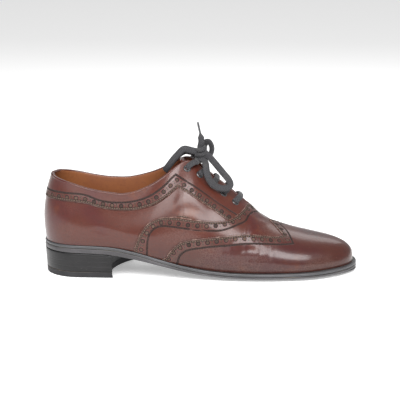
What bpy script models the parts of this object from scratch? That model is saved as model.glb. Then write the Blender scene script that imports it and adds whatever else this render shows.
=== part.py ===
"""Full brogue shoe, right foot, closed lacing, five pairs of eyelets.

+X runs from the heel to the toe, +Z is up and +Y is the inner side of the foot.
Lengths are in metres. Tables hold shares of the named sizes, one row a section.
"""
import math

import bmesh
import bpy
from mathutils import Matrix, Vector

# Driving sizes
LENGTH = 0.302            # outsole, heel to toe
BALL_WIDTH = 0.104        # outsole across the ball
INSTEP = 0.095            # top of the facings above the welt
HEEL_HEIGHT = 0.0245      # outsole above the floor at the heel seat
TOP_PIECE = 0.0055        # rubber lift under the heel
OUTSOLE = 0.0048
WELT = 0.0027
WELT_WIDTH = 0.0090       # how far the welt runs in under the upper
WELT_REACH = 0.0054       # welt's edge past the wall of the upper, overlays left out
WALL = 0.0020             # leather and lining of the upper
COLLAR_RISE = 0.0008      # collar and facings above the quarters
VAMP_RISE = 0.0013        # vamp above the quarters
WING_RISE = 0.0021        # wing above the quarters
INSOLE = 0.0020           # insole above the welt
TONGUE = 0.0022
GAP = 0.0003
CROWN = 0.0024            # lift of the outsole's edge across the ball
EDGE_ROUND = 0.0010
HEEL_TAPER = 0.0012       # how much the heel narrows down to the floor
BREAST = 0.0675           # heel breast at the outer side
BREAST_SWING = 0.0140     # how much further forward it is at the inner side
BREAST_HOLLOW = 0.0060

# Lacing
EYELET_PAIRS = 5
EYELET_PITCH = 0.0148
EYELET_HOLE = 0.0036
EYELET_BARREL = 0.0048
EYELET_FLANGE = 0.0074
EYELET_THICK = 0.0006
EYELET_EDGE_TOP = 0.0082  # centre of the top eyelet from the facing's edge
EYELET_EDGE_LOW = 0.0118  # and of the lowest
LACE = 0.0036
KNOT = 0.0088
TAG = 0.0018

EYELET_SIDES = 12
FIRST_EYELET = 0.462      # share of LENGTH
FACING_SLOPE = 38.0       # degrees
TONGUE_ROWS = (0.685, 0.665, 0.654, 0.643, 0.621, 0.600, 0.565, 0.538, 0.503, 0.480, 0.458)
TONGUE_HEIGHTS = (0.76, 0.82, 0.88, 0.94, 1.00)
TONGUE_TIP = 0.004

# Rounds of the plan and of the nose
HEEL_ROUND = 0.115
TOE_ROUND = 0.80
TOE_POWER = 2.25
NOSE_ROUND = 0.80
NOSE_POWER = 2.45
NOSE_HEIGHT = 0.0040
NOSE_TILT = 50.0          # degrees that the tip's top leans back
BACK_LEAN = 0.0076        # top of the back seam ahead of its foot

FACING_TOP = 0.458
THROAT = 0.665


class Table:
    """Rows of shares, read between rows by a smooth curve that never overshoots."""

    def __init__(self, columns, rows):
        self.columns = columns
        self.rows = rows

    def at(self, name, station):
        column = self.columns.index(name)
        places = [row[0] for row in self.rows]
        values = [row[column] for row in self.rows]
        last = len(places) - 1
        station = min(max(station, places[0]), places[-1])
        low = max(k for k in range(last) if places[k] <= station)

        def slope(k):
            before = (values[k] - values[k - 1]) / (places[k] - places[k - 1]) if k > 0 else None
            after = (values[k + 1] - values[k]) / (places[k + 1] - places[k]) if k < last else None
            if before is None or after is None:
                return before if after is None else after
            return 2 * before * after / (before + after) if before * after > 0 else 0.0

        step = places[low + 1] - places[low]
        t = (station - places[low]) / step
        rise = values[low + 1] - values[low]
        start = slope(low) * step
        end = slope(low + 1) * step
        return values[low] + t * start + t * t * (3 * rise - 2 * start - end) \
            + t ** 3 * (start + end - 2 * rise)


# Shares of BALL_WIDTH, HEEL_HEIGHT, WELT_REACH and CROWN
PLAN = Table(("station", "outer", "inner", "underside", "reach", "crown"), [
    (0.00, 0.310, 0.310, 1.000, 0.18, 0.0),
    (0.08, 0.318, 0.316, 0.990, 0.18, 0.0),
    (0.16, 0.325, 0.318, 0.965, 0.20, 0.0),
    (0.22, 0.330, 0.312, 0.920, 0.25, 0.0),
    (0.30, 0.342, 0.290, 0.740, 0.40, 0.1),
    (0.38, 0.362, 0.275, 0.470, 0.60, 0.5),
    (0.46, 0.392, 0.290, 0.240, 0.80, 0.8),
    (0.54, 0.418, 0.345, 0.090, 0.95, 1.0),
    (0.62, 0.434, 0.440, 0.020, 1.00, 1.0),
    (0.70, 0.436, 0.505, 0.000, 1.00, 1.0),
    (0.78, 0.420, 0.520, 0.000, 1.00, 1.0),
    (0.86, 0.388, 0.492, 0.010, 1.00, 1.0),
    (0.93, 0.350, 0.442, 0.035, 1.00, 1.0),
    (1.00, 0.320, 0.385, 0.080, 1.00, 0.8),
])

# Heights over the welt and half opening as shares of INSTEP, angles in degrees,
# fullness low and high as shares of the section's own size
UPPER = Table(("station", "outer_top", "inner_top", "opening", "lean", "close", "low", "high"), [
    (0.000, 0.668, 0.668, 0.284, 7, 72, 0.45, 0.45),
    (0.050, 0.640, 0.636, 0.290, 9, 82, 0.45, 0.45),
    (0.100, 0.610, 0.605, 0.300, 12, 90, 0.45, 0.45),
    (0.150, 0.570, 0.578, 0.305, 12, 95, 0.45, 0.45),
    (0.200, 0.545, 0.565, 0.305, 12, 95, 0.45, 0.45),
    (0.245, 0.540, 0.578, 0.300, 12, 95, 0.45, 0.45),
    (0.290, 0.580, 0.628, 0.288, 13, 95, 0.45, 0.45),
    (0.340, 0.680, 0.718, 0.256, 15, 88, 0.45, 0.45),
    (0.390, 0.815, 0.840, 0.204, 18, 75, 0.45, 0.45),
    (0.430, 0.940, 0.950, 0.145, 20, 60, 0.45, 0.45),
    (0.458, 1.004, 1.006, 0.105, 22, 48, 0.45, 0.45),
    (0.474, 1.006, 1.006, 0.091, 22, 45, 0.45, 0.48),
    (0.498, 0.964, 0.964, 0.078, 22, 41, 0.45, 0.50),
    (0.540, 0.868, 0.868, 0.061, 22, 36, 0.45, 0.50),
    (0.600, 0.740, 0.740, 0.037, 22, 30, 0.50, 0.55),
    (0.655, 0.606, 0.606, 0.016, 22, 18, 0.50, 0.55),
    (0.665, 0.574, 0.574, 0.000, 22, 0, 0.50, 0.55),
    (0.710, 0.448, 0.448, 0.000, 22, 0, 0.55, 0.55),
    (0.770, 0.354, 0.354, 0.000, 20, 0, 0.60, 0.55),
    (0.850, 0.288, 0.288, 0.000, 16, 0, 0.62, 0.58),
    (0.910, 0.266, 0.266, 0.000, 12, 0, 0.62, 0.60),
    (1.000, 0.256, 0.256, 0.000, 8, 0, 0.62, 0.60),
])
RIDGE_SHIFT = 0.004       # the ridge runs this far to the inner side ahead of the facings


def material(name, colour, roughness, metallic=0.0):
    made = bpy.data.materials.new(name)
    made.use_nodes = True
    shader = made.node_tree.nodes["Principled BSDF"]
    shader.inputs["Base Color"].default_value = (*colour, 1.0)
    shader.inputs["Roughness"].default_value = roughness
    shader.inputs["Metallic"].default_value = metallic
    return made


def plan_end(station):
    """Share of the half width that is left where the plan closes round heel and toe."""
    if station < HEEL_ROUND:
        return math.sqrt(max(0.0, 1 - (1 - station / HEEL_ROUND) ** 2))
    if station > TOE_ROUND:
        way = (station - TOE_ROUND) / (1 - TOE_ROUND)
        return max(0.0, 1 - way ** TOE_POWER) ** (1 / TOE_POWER)
    return 1.0


def nose(station):
    if station <= NOSE_ROUND:
        return 1.0
    way = (station - NOSE_ROUND) / (1 - NOSE_ROUND)
    return max(0.0, 1 - way ** NOSE_POWER) ** (1 / NOSE_POWER)


def plan_point(station, across, inset=0.0):
    """Plan point. across is -1 at the outer edge and +1 at the inner edge."""
    outer = PLAN.at("outer", station) * BALL_WIDTH - inset
    inner = PLAN.at("inner", station) * BALL_WIDTH - inset
    middle = (inner - outer) / 2
    half = (inner + outer) / 2
    return inset + station * (LENGTH - 2 * inset), middle + across * half * plan_end(station)


def underside(x):
    return PLAN.at("underside", x / LENGTH) * HEEL_HEIGHT


def outsole_top(x):
    return underside(x) + OUTSOLE


def welt_top(x):
    return outsole_top(x) + GAP + WELT


def upper_inset(station):
    return PLAN.at("reach", station) * WELT_REACH


def stations():
    """Shares of the length, close together where the plan turns."""
    heel = [HEEL_ROUND * (1 - math.cos(math.pi / 2 * k / 6)) for k in range(2, 6)]
    middle = [HEEL_ROUND + (TOE_ROUND - HEEL_ROUND) * k / 20 for k in range(20)]
    toe = [TOE_ROUND + (1 - TOE_ROUND) * math.sin(math.pi / 2 * k / 8) for k in range(7)]
    return [0.0] + heel + middle + toe + [1.0]


def upper_point(station, side, height):
    """Point on the outside of the upper. height is 0 at the welt and 1 at the top edge."""
    inset = upper_inset(station)
    x, y = plan_point(station, side, inset)
    foot = Vector((x, y, welt_top(x) + GAP))
    back = max(0.0, 1 - station / 0.2) ** 2 * BACK_LEAN
    top_x = x + back
    tall = UPPER.at("outer_top" if side < 0 else "inner_top", station) * INSTEP
    tall = NOSE_HEIGHT + (tall - NOSE_HEIGHT) * nose(station)
    opening = UPPER.at("opening", station) * INSTEP
    round_back = plan_end(station) if station < HEEL_ROUND else 1.0
    ridge = RIDGE_SHIFT * min(1.0, max(0.0, (station - 0.4) / 0.4))
    tip = plan_point(1.0, 0.0, inset)[1]
    settle = max(0.0, (station - TOE_ROUND) / (1 - TOE_ROUND)) ** 3
    ridge += (tip - ridge) * settle
    top = Vector((top_x, ridge + side * opening * round_back, foot.z + tall))
    run = Vector((top.x - foot.x, top.y - foot.y, 0.0))
    reach = run.length
    forward = run / reach if reach > 1e-6 else Vector((0.0, 0.0, 0.0))
    lean = math.radians(UPPER.at("lean", station)) * min(1.0, nose(station) * 2)
    close = math.radians(UPPER.at("close", station))
    low = UPPER.at("low", station) * tall
    high = UPPER.at("high", station)
    high *= reach * math.cos(close) ** 2 + tall * math.sin(close) ** 2
    along = [0.0, -math.sin(lean) * low, reach - math.cos(close) * high, reach]
    up = [0.0, math.cos(lean) * low, tall - math.sin(close) * high, tall]
    t = height
    weights = [(1 - t) ** 3, 3 * t * (1 - t) ** 2, 3 * t * t * (1 - t), t ** 3]
    out = sum(w * a for w, a in zip(weights, along))
    rise = sum(w * u for w, u in zip(weights, up))
    return foot + forward * out + Vector((0.0, 0.0, rise))


def upper_normal(station, side, height):
    small = 0.002
    a = upper_point(min(1.0, station + small), side, height)
    b = upper_point(max(0.0, station - small), side, height)
    c = upper_point(station, side, min(1.0, height + small))
    d = upper_point(station, side, max(0.0, height - small))
    return (c - d).cross(a - b).normalized() * side


def mesh_object(name, points, faces, collection, look=None, closed=True):
    """A mesh from points and faces, with equal points made one."""
    mesh = bpy.data.meshes.new(name)
    mesh.from_pydata([tuple(p) for p in points], [], faces)
    shape = bmesh.new()
    shape.from_mesh(mesh)
    bmesh.ops.remove_doubles(shape, verts=shape.verts, dist=1e-6)
    bmesh.ops.dissolve_degenerate(shape, edges=shape.edges, dist=1e-7)
    if closed:
        bmesh.ops.recalc_face_normals(shape, faces=shape.faces)
    shape.to_mesh(mesh)
    shape.free()
    made = bpy.data.objects.new(name, mesh)
    collection.objects.link(made)
    if look:
        mesh.materials.append(look)
    return made


def loft(name, loops, collection, look, ring=False, end=None):
    """A closed body through loops of equally many points, capped unless it is a ring.

    end lists the last cap's faces by their places in the loop, where one face won't do.
    """
    count = len(loops[0])
    points = [p for loop in loops for p in loop]
    faces = []
    for k in range(len(loops) if ring else len(loops) - 1):
        first = k * count
        second = (k + 1) % len(loops) * count
        for j in range(count):
            n = (j + 1) % count
            faces.append((first + j, first + n, second + n, second + j))
    if not ring:
        faces.append(tuple(range(count)))
        start = (len(loops) - 1) * count
        faces += [tuple(start + j for j in face) for face in end or [range(count)]]
    mesh_object(name, points, faces, collection, look)


def apply_modifiers(made):
    """Swap the mesh for the evaluated one."""
    scene_graph = bpy.context.evaluated_depsgraph_get()
    scene_graph.update()
    mesh = bpy.data.meshes.new_from_object(made.evaluated_get(scene_graph))
    made.modifiers.clear()
    made.data = mesh


def boolean(made, cutter, operation):
    modifier = made.modifiers.new(operation.lower(), "BOOLEAN")
    modifier.operation = operation
    modifier.object = cutter
    modifier.solver = "EXACT"
    apply_modifiers(made)
    bpy.data.objects.remove(cutter)
    shape = bmesh.new()
    shape.from_mesh(made.data)
    bmesh.ops.remove_doubles(shape, verts=shape.verts, dist=2e-6)
    bmesh.ops.dissolve_degenerate(shape, edges=shape.edges, dist=2e-6)
    shape.to_mesh(made.data)
    shape.free()


def plate_loop(station, levels):
    """One section of a plate. levels lists (across, inset, height of a point at x)."""
    loop = []
    for across, inset, height in levels:
        x, y = plan_point(station, across, inset)
        loop.append((x, y, height(x)))
    return loop


def outsole(collection, look):
    def low(lift):
        return lambda x: underside(x) + lift * PLAN.at("crown", x / LENGTH)

    levels = [(-1.0, 0.0, low(CROWN + EDGE_ROUND)), (-1.0, 2 * EDGE_ROUND, low(CROWN)),
              (-0.6, 0.0, low(0.0)), (0.0, 0.0, low(0.0)), (0.6, 0.0, low(0.0)),
              (1.0, 2 * EDGE_ROUND, low(CROWN)), (1.0, 0.0, low(CROWN + EDGE_ROUND)),
              (1.0, 0.0, outsole_top), (0.0, 0.0, outsole_top), (-1.0, 0.0, outsole_top)]
    loft("outsole", [plate_loop(s, levels) for s in stations()], collection, look)


def insole(collection, look):
    def base(x):
        return outsole_top(x) + GAP

    def shelf(x):
        return welt_top(x) + GAP

    def top(x):
        return shelf(x) + INSOLE

    loops = []
    for s in stations():
        narrow = WELT_WIDTH + GAP
        wide = upper_inset(s) + WALL + 2 * GAP
        loops.append(plate_loop(s, [
            (-1.0, narrow, base), (0.0, narrow, base), (1.0, narrow, base), (1.0, narrow, shelf),
            (1.0, wide, shelf), (1.0, wide, top), (0.0, wide, top), (-1.0, wide, top),
            (-1.0, wide, shelf), (-1.0, narrow, shelf)]))
    loft("insole", loops, collection, look)


def welt(collection, look):
    lap = [(s, -1) for s in stations()] + [(s, 1) for s in reversed(stations()[1:-1])]
    loops = []
    for s, side in lap:
        outer = plan_point(s, side)
        inner = plan_point(s, side, WELT_WIDTH)
        loops.append([(*outer, outsole_top(outer[0]) + GAP), (*outer, welt_top(outer[0])),
                      (*inner, welt_top(inner[0])), (*inner, outsole_top(inner[0]) + GAP)])
    loft("welt", loops, collection, look, ring=True)


def breast(across):
    """Where the heel ends, from the outer side at -1 to the inner side at +1."""
    swing = (across + 1) / 2
    return BREAST + BREAST_SWING * swing ** 2 - BREAST_HOLLOW * (1 - across * across)


def heel_lift(name, bottom, top, inset_low, inset_high, collection, look):
    rows = [math.sin(math.pi / 2 * k / 8) ** 2 if k < 8 else 1.0 for k in range(9)]
    across = [-1 + 2 * k / 8 for k in range(9)]
    loops = []
    for row in rows:
        loop = []
        for v in across:
            x = row * breast(v)
            low = plan_point(x / LENGTH, v, inset_low)
            loop.append((low[0], low[1], bottom(low[0])))
        for v in reversed(across):
            x = row * breast(v)
            high = plan_point(x / LENGTH, v, inset_high)
            loop.append((high[0], high[1], top(high[0])))
        loops.append(loop)
    count = len(across)
    face = [(k, k + 1, 2 * count - 2 - k, 2 * count - 1 - k) for k in range(count - 1)]
    loft(name, loops, collection, look, end=face)


# Seam lines on the upper: share of the height at each station
VAMP_SEAM = Table(("station", "height"), [
    (0.296, 0.00), (0.303, 0.16), (0.315, 0.30), (0.329, 0.42), (0.348, 0.51), (0.375, 0.54),
    (0.407, 0.51), (0.434, 0.45), (0.458, 0.42), (0.503, 0.44), (0.538, 0.47), (0.565, 0.51),
    (0.600, 0.58), (0.621, 0.66), (0.643, 0.81), (0.654, 0.95), (0.665, 1.00)])
WING_SEAM = Table(("station", "height"), [
    (0.378, 0.00), (0.395, 0.04), (0.411, 0.12), (0.446, 0.20), (0.503, 0.28), (0.585, 0.37),
    (0.631, 0.44), (0.682, 0.50), (0.745, 0.60), (0.775, 0.67)])
PEAK_SEAM = Table(("station", "height"), [(0.726, 1.00), (0.752, 0.84), (0.775, 0.67)])
COLLAR_SEAM = Table(("station", "height"), [
    (0.000, 0.67), (0.060, 0.72), (0.140, 0.76), (0.200, 0.73), (0.277, 0.73), (0.345, 0.75),
    (0.393, 0.77), (0.434, 0.76), (0.458, 0.67), (0.503, 0.63), (0.565, 0.59), (0.654, 0.47)])
BAND_STEPS = (5, 4, 4, 3, 2)


def bands(station):
    """Heights that bound wing, vamp, quarter, collar and peak, and how far each rises."""
    wing = WING_SEAM.at("height", station)
    peak = PEAK_SEAM.at("height", station)
    vamp = min(max(VAMP_SEAM.at("height", station), wing), peak)
    collar = min(max(COLLAR_SEAM.at("height", station), vamp), peak)
    marks = [0.0, wing, vamp, collar, peak, 1.0]
    if station >= THROAT:
        marks[2] = marks[3] = peak
    rises = [WING_RISE, VAMP_RISE, 0.0, COLLAR_RISE, WING_RISE]
    full = [k for k in range(5) if marks[k + 1] - marks[k] > 1e-6]
    settled = []
    for k in range(5):
        below = [rises[f] for f in full if f <= k][-1:]
        above = [rises[f] for f in full if f >= k][:1]
        settled.append(min(below + above))
    return marks, settled


def skin(station, side, height, offset):
    """Point at an offset from the upper's surface, the same from both sides where they meet."""
    point = upper_point(station, side, height)
    normal = upper_normal(station, side, height)
    if station == 0.0 or (height == 1.0 and station >= THROAT):
        normal = (normal + upper_normal(station, -side, height)).normalized()
    if station == 1.0:
        tilt = math.radians(NOSE_TILT) * height
        normal = Vector((math.cos(tilt), 0.0, math.sin(tilt)))
    if height == 0.0:
        normal = Vector((normal.x, normal.y, 0.0)).normalized()
    return point + normal * offset


def upper_columns():
    own = {0.0, FACING_TOP, THROAT, 1.0}
    for seam in (VAMP_SEAM, WING_SEAM, PEAK_SEAM, COLLAR_SEAM):
        own |= {row[0] for row in seam.rows}
    own = sorted(own)
    plain = [s for s in stations() if s < 0.99 and min(abs(s - o) for o in own) > 0.010]
    return sorted(own + plain)


def upper(collection, look):
    """One hollow wall: its outside steps up at each seam, its inside runs on smooth."""
    columns = upper_columns()
    points, faces = [], []
    count = sum(BAND_STEPS) + len(BAND_STEPS)
    for side in (-1, 1):
        first = len(points)
        for s in columns:
            marks, rises = bands(s)
            outside, inside = [], []
            for k, steps in enumerate(BAND_STEPS):
                for j in range(steps + 1):
                    height = marks[k] + (marks[k + 1] - marks[k]) * j / steps
                    outside.append(skin(s, side, height, rises[k]))
                    inside.append(skin(s, side, height, -WALL))
            points += outside + inside
        for i, s in enumerate(columns[:-1]):
            here = first + i * 2 * count
            ahead = here + 2 * count
            quads = []
            for k in range(count - 1):
                quads.append((here + k, ahead + k, ahead + k + 1, here + k + 1))
                quads.append((here + count + k + 1, ahead + count + k + 1,
                              ahead + count + k, here + count + k))
            quads.append((here + count, ahead + count, ahead, here))
            if s < THROAT:
                top = count - 1
                quads.append((here + top, ahead + top, ahead + count + top, here + count + top))
            faces += quads if side < 0 else [tuple(reversed(q)) for q in quads]
    return mesh_object("upper", points, faces, collection, look)


def height_at(station, side, distance):
    """Height on the upper that lies a distance down from the top edge."""
    height, run = 1.0, 0.0
    last = upper_point(station, side, height)
    while run < distance:
        height -= 0.005
        point = upper_point(station, side, height)
        run += (point - last).length
        last = point
    return height


def eyelet_places():
    """Station, side and height of each eyelet, top pair first."""
    places = []
    for pair in range(EYELET_PAIRS):
        station = FIRST_EYELET + pair * EYELET_PITCH * math.cos(math.radians(FACING_SLOPE)) / LENGTH
        edge = EYELET_EDGE_TOP + (EYELET_EDGE_LOW - EYELET_EDGE_TOP) * pair / (EYELET_PAIRS - 1)
        for side in (-1, 1):
            places.append((station, side, height_at(station, side, edge)))
    return places


def stand_on(point, normal):
    """A frame with its Z along the normal."""
    return Matrix.Translation(point) @ normal.to_track_quat("Z", "Y").to_matrix().to_4x4()


def eyelets(made, collection, look):
    for number, (station, side, height) in enumerate(eyelet_places()):
        place = stand_on(upper_point(station, side, height), upper_normal(station, side, height))
        base = COLLAR_RISE + GAP
        foot = -WALL
        profile = [(EYELET_HOLE / 2, base + EYELET_THICK), (EYELET_FLANGE / 2, base + EYELET_THICK),
                   (EYELET_FLANGE / 2, base), (EYELET_BARREL / 2, base),
                   (EYELET_BARREL / 2, foot), (EYELET_HOLE / 2, foot)]
        loops = []
        for k in range(EYELET_SIDES):
            turn = 2 * math.pi * k / EYELET_SIDES
            loops.append([place @ Vector((r * math.cos(turn), r * math.sin(turn), z))
                          for r, z in profile])
        name = "eyelet_%s_%d" % ("outer" if side < 0 else "inner", number // 2 + 1)
        loft(name, loops, collection, look, ring=True)
        bpy.ops.mesh.primitive_cylinder_add(
            vertices=EYELET_SIDES, radius=EYELET_BARREL / 2 + GAP, depth=8 * WALL)
        drill = bpy.context.object
        drill.matrix_world = place
        boolean(made, drill, "DIFFERENCE")


def tongue(collection, look):
    """A sheet under the facings that runs on past their top."""
    under = -(WALL + 3 * GAP)
    rows = []
    for s in TONGUE_ROWS:
        row = [skin(s, -1, h, under) for h in TONGUE_HEIGHTS]
        row += [skin(s, 1, h, under) for h in reversed(TONGUE_HEIGHTS)]
        rows.append(row)
    slope = math.radians(FACING_SLOPE)
    for share, narrow in ((0.6, 0.80), (1.0, 0.60)):
        way = Vector((-math.cos(slope), 0.0, math.sin(slope))) * TONGUE_TIP * share
        middle = sum(rows[len(TONGUE_ROWS) - 1], Vector()) / len(row)
        rows.append([middle + (p - middle) * narrow + way for p in rows[len(TONGUE_ROWS) - 1]])
    points = [p for row in rows for p in row]
    wide = len(row)
    faces = [(i * wide + k, i * wide + k + 1, (i + 1) * wide + k + 1, (i + 1) * wide + k)
             for i in range(len(rows) - 1) for k in range(wide - 1)]
    made = mesh_object("tongue", points, faces, collection, look, closed=False)
    modifier = made.modifiers.new("thickness", "SOLIDIFY")
    modifier.thickness = TONGUE
    modifier.offset = -1.0


def cord(name, route, diameter, collection, look):
    """A tube on a smooth curve through the route's points."""
    total = sum((b - a).length for a, b in zip(route, route[1:]))
    steps = max(2, round(total / (2 * diameter)))
    ends = [2 * route[0] - route[1]] + list(route) + [2 * route[-1] - route[-2]]
    points = []
    for k in range(steps + 1):
        place = k / steps * (len(route) - 1)
        i = min(int(place), len(route) - 2)
        t = place - i
        a, b, c, d = ends[i:i + 4]
        points.append(0.5 * (2 * b + (c - a) * t + (2 * a - 5 * b + 4 * c - d) * t * t
                             + (3 * b - a - 3 * c + d) * t ** 3))
    curve = bpy.data.curves.new(name, "CURVE")
    curve.dimensions = "3D"
    curve.bevel_depth = diameter / 2
    curve.bevel_resolution = 2
    curve.use_fill_caps = True
    spline = curve.splines.new("POLY")
    spline.points.add(len(points) - 1)
    for knot, point in zip(spline.points, points):
        knot.co = (*point, 1.0)
    curve.materials.append(look)
    collection.objects.link(bpy.data.objects.new(name, curve))


def lace_bars(collection, look):
    """The bar of lace across each pair of eyelets, over both facing edges."""
    lift = COLLAR_RISE + EYELET_THICK + 2 * GAP + LACE / 2
    places = eyelet_places()
    for pair in range(EYELET_PAIRS):
        station, _, outer = places[2 * pair]
        inner = places[2 * pair + 1][2]
        route = [skin(station, -1, h, lift) for h in (outer, (outer + 1) / 2, 0.995)]
        route += [skin(station, 1, h, lift) for h in (0.995, (inner + 1) / 2, inner)]
        cord("lace_bar_%d" % (pair + 1), route, LACE, collection, look)


# The bow as tied: places in millimetres from the back of the heel, the plan's middle and the floor
BOW = {
    "lace_knot": (KNOT, [(151.6, 0.5, 120.0), (151.9, -1.0, 115.5), (153.0, -2.8, 109.6)]),
    "lace_loop_back": (LACE, [
        (146.4, -2.4, 117.6), (142.0, -2.8, 118.8), (136.0, -3.2, 119.8), (130.6, -3.4, 114.8),
        (125.7, -3.2, 109.2), (120.8, -2.8, 102.6), (117.4, 0.2, 98.0), (120.6, 3.0, 101.6),
        (125.8, 2.8, 107.8), (131.0, 2.6, 113.4), (136.5, 2.8, 116.6), (141.6, 3.2, 116.0),
        (146.4, 2.4, 114.8)]),
    "lace_loop_front": (LACE, [
        (157.4, -4.4, 115.4), (162.6, -9.0, 111.4), (168.4, -12.6, 105.4), (174.2, -15.0, 98.8),
        (179.6, -16.4, 92.4), (180.6, -17.0, 87.2), (175.6, -17.4, 84.6), (168.4, -17.8, 86.0),
        (163.0, -18.6, 90.4), (159.8, -18.4, 96.0), (158.2, -16.2, 102.0), (157.4, -12.4, 107.4),
        (157.0, -9.4, 109.6)]),
    "lace_loop_top": (LACE, [
        (154.2, 6.6, 118.4), (156.2, 6.4, 123.8), (160.0, 5.5, 125.2), (162.6, 4.6, 119.6),
        (161.6, 2.6, 114.0), (159.4, 0.6, 112.4)]),
    "lace_end": (LACE, [(151.6, 1.6, 120.9), (152.6, 2.0, 125.4), (152.4, 2.0, 129.5),
                        (151.7, 2.0, 133.9)]),
    "lace_tag": (TAG, [(151.5, 2.0, 134.4), (150.4, 2.0, 139.8), (149.4, 2.0, 145.1)]),
}


def bow(collection, look):
    for name, (diameter, places) in BOW.items():
        cord(name, [Vector(place) / 1000 for place in places], diameter, collection, look)


def stand_at_origin(collection):
    """Hang the shoe on an empty, with the middle of its box over the origin."""
    root = bpy.data.objects.new("shoe", None)
    collection.objects.link(root)
    graph = bpy.context.evaluated_depsgraph_get()
    graph.update()
    corners = [made.matrix_world @ corner.co
               for made in collection.objects if made.type == "MESH"
               for corner in made.evaluated_get(graph).data.vertices]
    middle = [(min(c[axis] for c in corners) + max(c[axis] for c in corners)) / 2 for axis in (0, 1)]
    root.location = (-middle[0], -middle[1], -min(c.z for c in corners))
    for made in collection.objects:
        if made != root:
            made.parent = root


def build():
    for old in list(bpy.data.objects):
        bpy.data.objects.remove(old)
    shoe = bpy.data.collections.new("brogue_shoe")
    bpy.context.scene.collection.children.link(shoe)
    black = material("sole_black", (0.045, 0.045, 0.048), 0.45)
    stack = material("heel_black", (0.030, 0.030, 0.032), 0.30)
    rubber = material("top_piece_black", (0.035, 0.035, 0.036), 0.65)
    leather = material("brown_leather", (0.150, 0.060, 0.045), 0.35)
    enamel = material("eyelet_black", (0.020, 0.020, 0.022), 0.35, 0.6)
    waxed = material("lace_black", (0.030, 0.030, 0.033), 0.60)
    lining = material("tan_lining", (0.230, 0.105, 0.055), 0.55)

    def floor(x):
        return 0.0

    def lift_seam(x):
        return TOP_PIECE

    def stack_foot(x):
        return TOP_PIECE + GAP

    def seat(x):
        return underside(x) - GAP

    outsole(shoe, black)
    welt(shoe, black)
    insole(shoe, lining)
    heel_lift("heel_top_piece", floor, lift_seam, HEEL_TAPER, HEEL_TAPER * 0.8, shoe, rubber)
    heel_lift("heel_stack", stack_foot, seat, HEEL_TAPER * 0.8, 0.0, shoe, stack)
    made = upper(shoe, leather)
    eyelets(made, shoe, enamel)
    tongue(shoe, leather)
    lace_bars(shoe, waxed)
    bow(shoe, waxed)
    stand_at_origin(shoe)


build()
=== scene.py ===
# %% [markdown]
# # A full brogue, from the last outwards
#
# A welted shoe is pulled over a last, a block in the shape of a foot. Everything on it
# follows that one curved form: the wall, the wing on the toe, the band round the collar,
# even where an eyelet points. So the lesson first writes the last as a few functions, and
# then shapes plain grids on it, piece by piece, in the order a shoemaker works.

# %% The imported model, which stays as it is
import math

import bpy
import numpy as np
from mathutils import Matrix, Vector
from mathutils.kdtree import KDTree


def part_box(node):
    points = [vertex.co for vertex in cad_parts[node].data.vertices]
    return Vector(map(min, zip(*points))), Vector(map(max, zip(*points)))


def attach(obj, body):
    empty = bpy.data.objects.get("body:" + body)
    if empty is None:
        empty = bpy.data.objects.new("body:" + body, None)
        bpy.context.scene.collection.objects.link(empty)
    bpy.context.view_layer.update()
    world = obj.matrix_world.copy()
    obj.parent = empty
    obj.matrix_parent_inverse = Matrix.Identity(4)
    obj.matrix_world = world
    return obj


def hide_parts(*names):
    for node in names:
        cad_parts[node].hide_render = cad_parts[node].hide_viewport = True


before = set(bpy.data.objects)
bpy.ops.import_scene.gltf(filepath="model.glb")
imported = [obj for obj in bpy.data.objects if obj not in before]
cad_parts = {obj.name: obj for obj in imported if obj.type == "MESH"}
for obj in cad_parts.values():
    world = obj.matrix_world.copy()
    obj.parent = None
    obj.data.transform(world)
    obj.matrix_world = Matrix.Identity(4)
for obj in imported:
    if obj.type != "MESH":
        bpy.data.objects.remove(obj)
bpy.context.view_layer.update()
bpy.ops.object.select_all(action="DESELECT")
print("solids:", len(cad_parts))

# %% [markdown]
# The camera comes first, because every later choice is judged through it. It stands a
# little above the shoe, turned three degrees towards the toe. A long lens keeps the
# heel and the toe at nearly one scale, as in a catalogue picture. The three columns of
# its matrix are its right, its up and the way back from what it looks at.

# %% Camera
YAW, RISE, ROLL = math.radians(3.0), math.radians(13.8), math.radians(-0.5)
FAR, LENS, SENSOR = 1.30, 121.3, 36.0           # metres off, and millimetres
TARGET = Vector((0.0002, -0.0043, 0.0690))


def set_camera():
    back = Vector((math.sin(YAW) * math.cos(RISE), -math.cos(YAW) * math.cos(RISE),
                   math.sin(RISE)))
    right = Vector((0, 0, 1)).cross(back).normalized()
    up = back.cross(right)
    level = right * math.cos(ROLL) + up * math.sin(ROLL)
    plumb = up * math.cos(ROLL) - right * math.sin(ROLL)
    bpy.ops.object.camera_add()
    camera = bpy.context.object
    camera.name = "camera"
    camera.data.lens = LENS
    camera.data.sensor_width = SENSOR
    camera.data.clip_start = 0.05
    camera.matrix_world = Matrix.Translation(TARGET + back * FAR) @ Matrix(
        (level, plumb, back)).transposed().to_4x4()
    bpy.context.scene.camera = camera


set_camera()

# %% [markdown]
# The last is a table of sections, each row a station along the shoe. Between rows a
# monotone cubic curve is read, which never swings past its rows, so no bump appears
# that nobody drew. Each section is one Bezier curve from the welt up to the top edge.
# Numpy works out a whole grid at once, which a loop over points would take minutes for.

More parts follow.
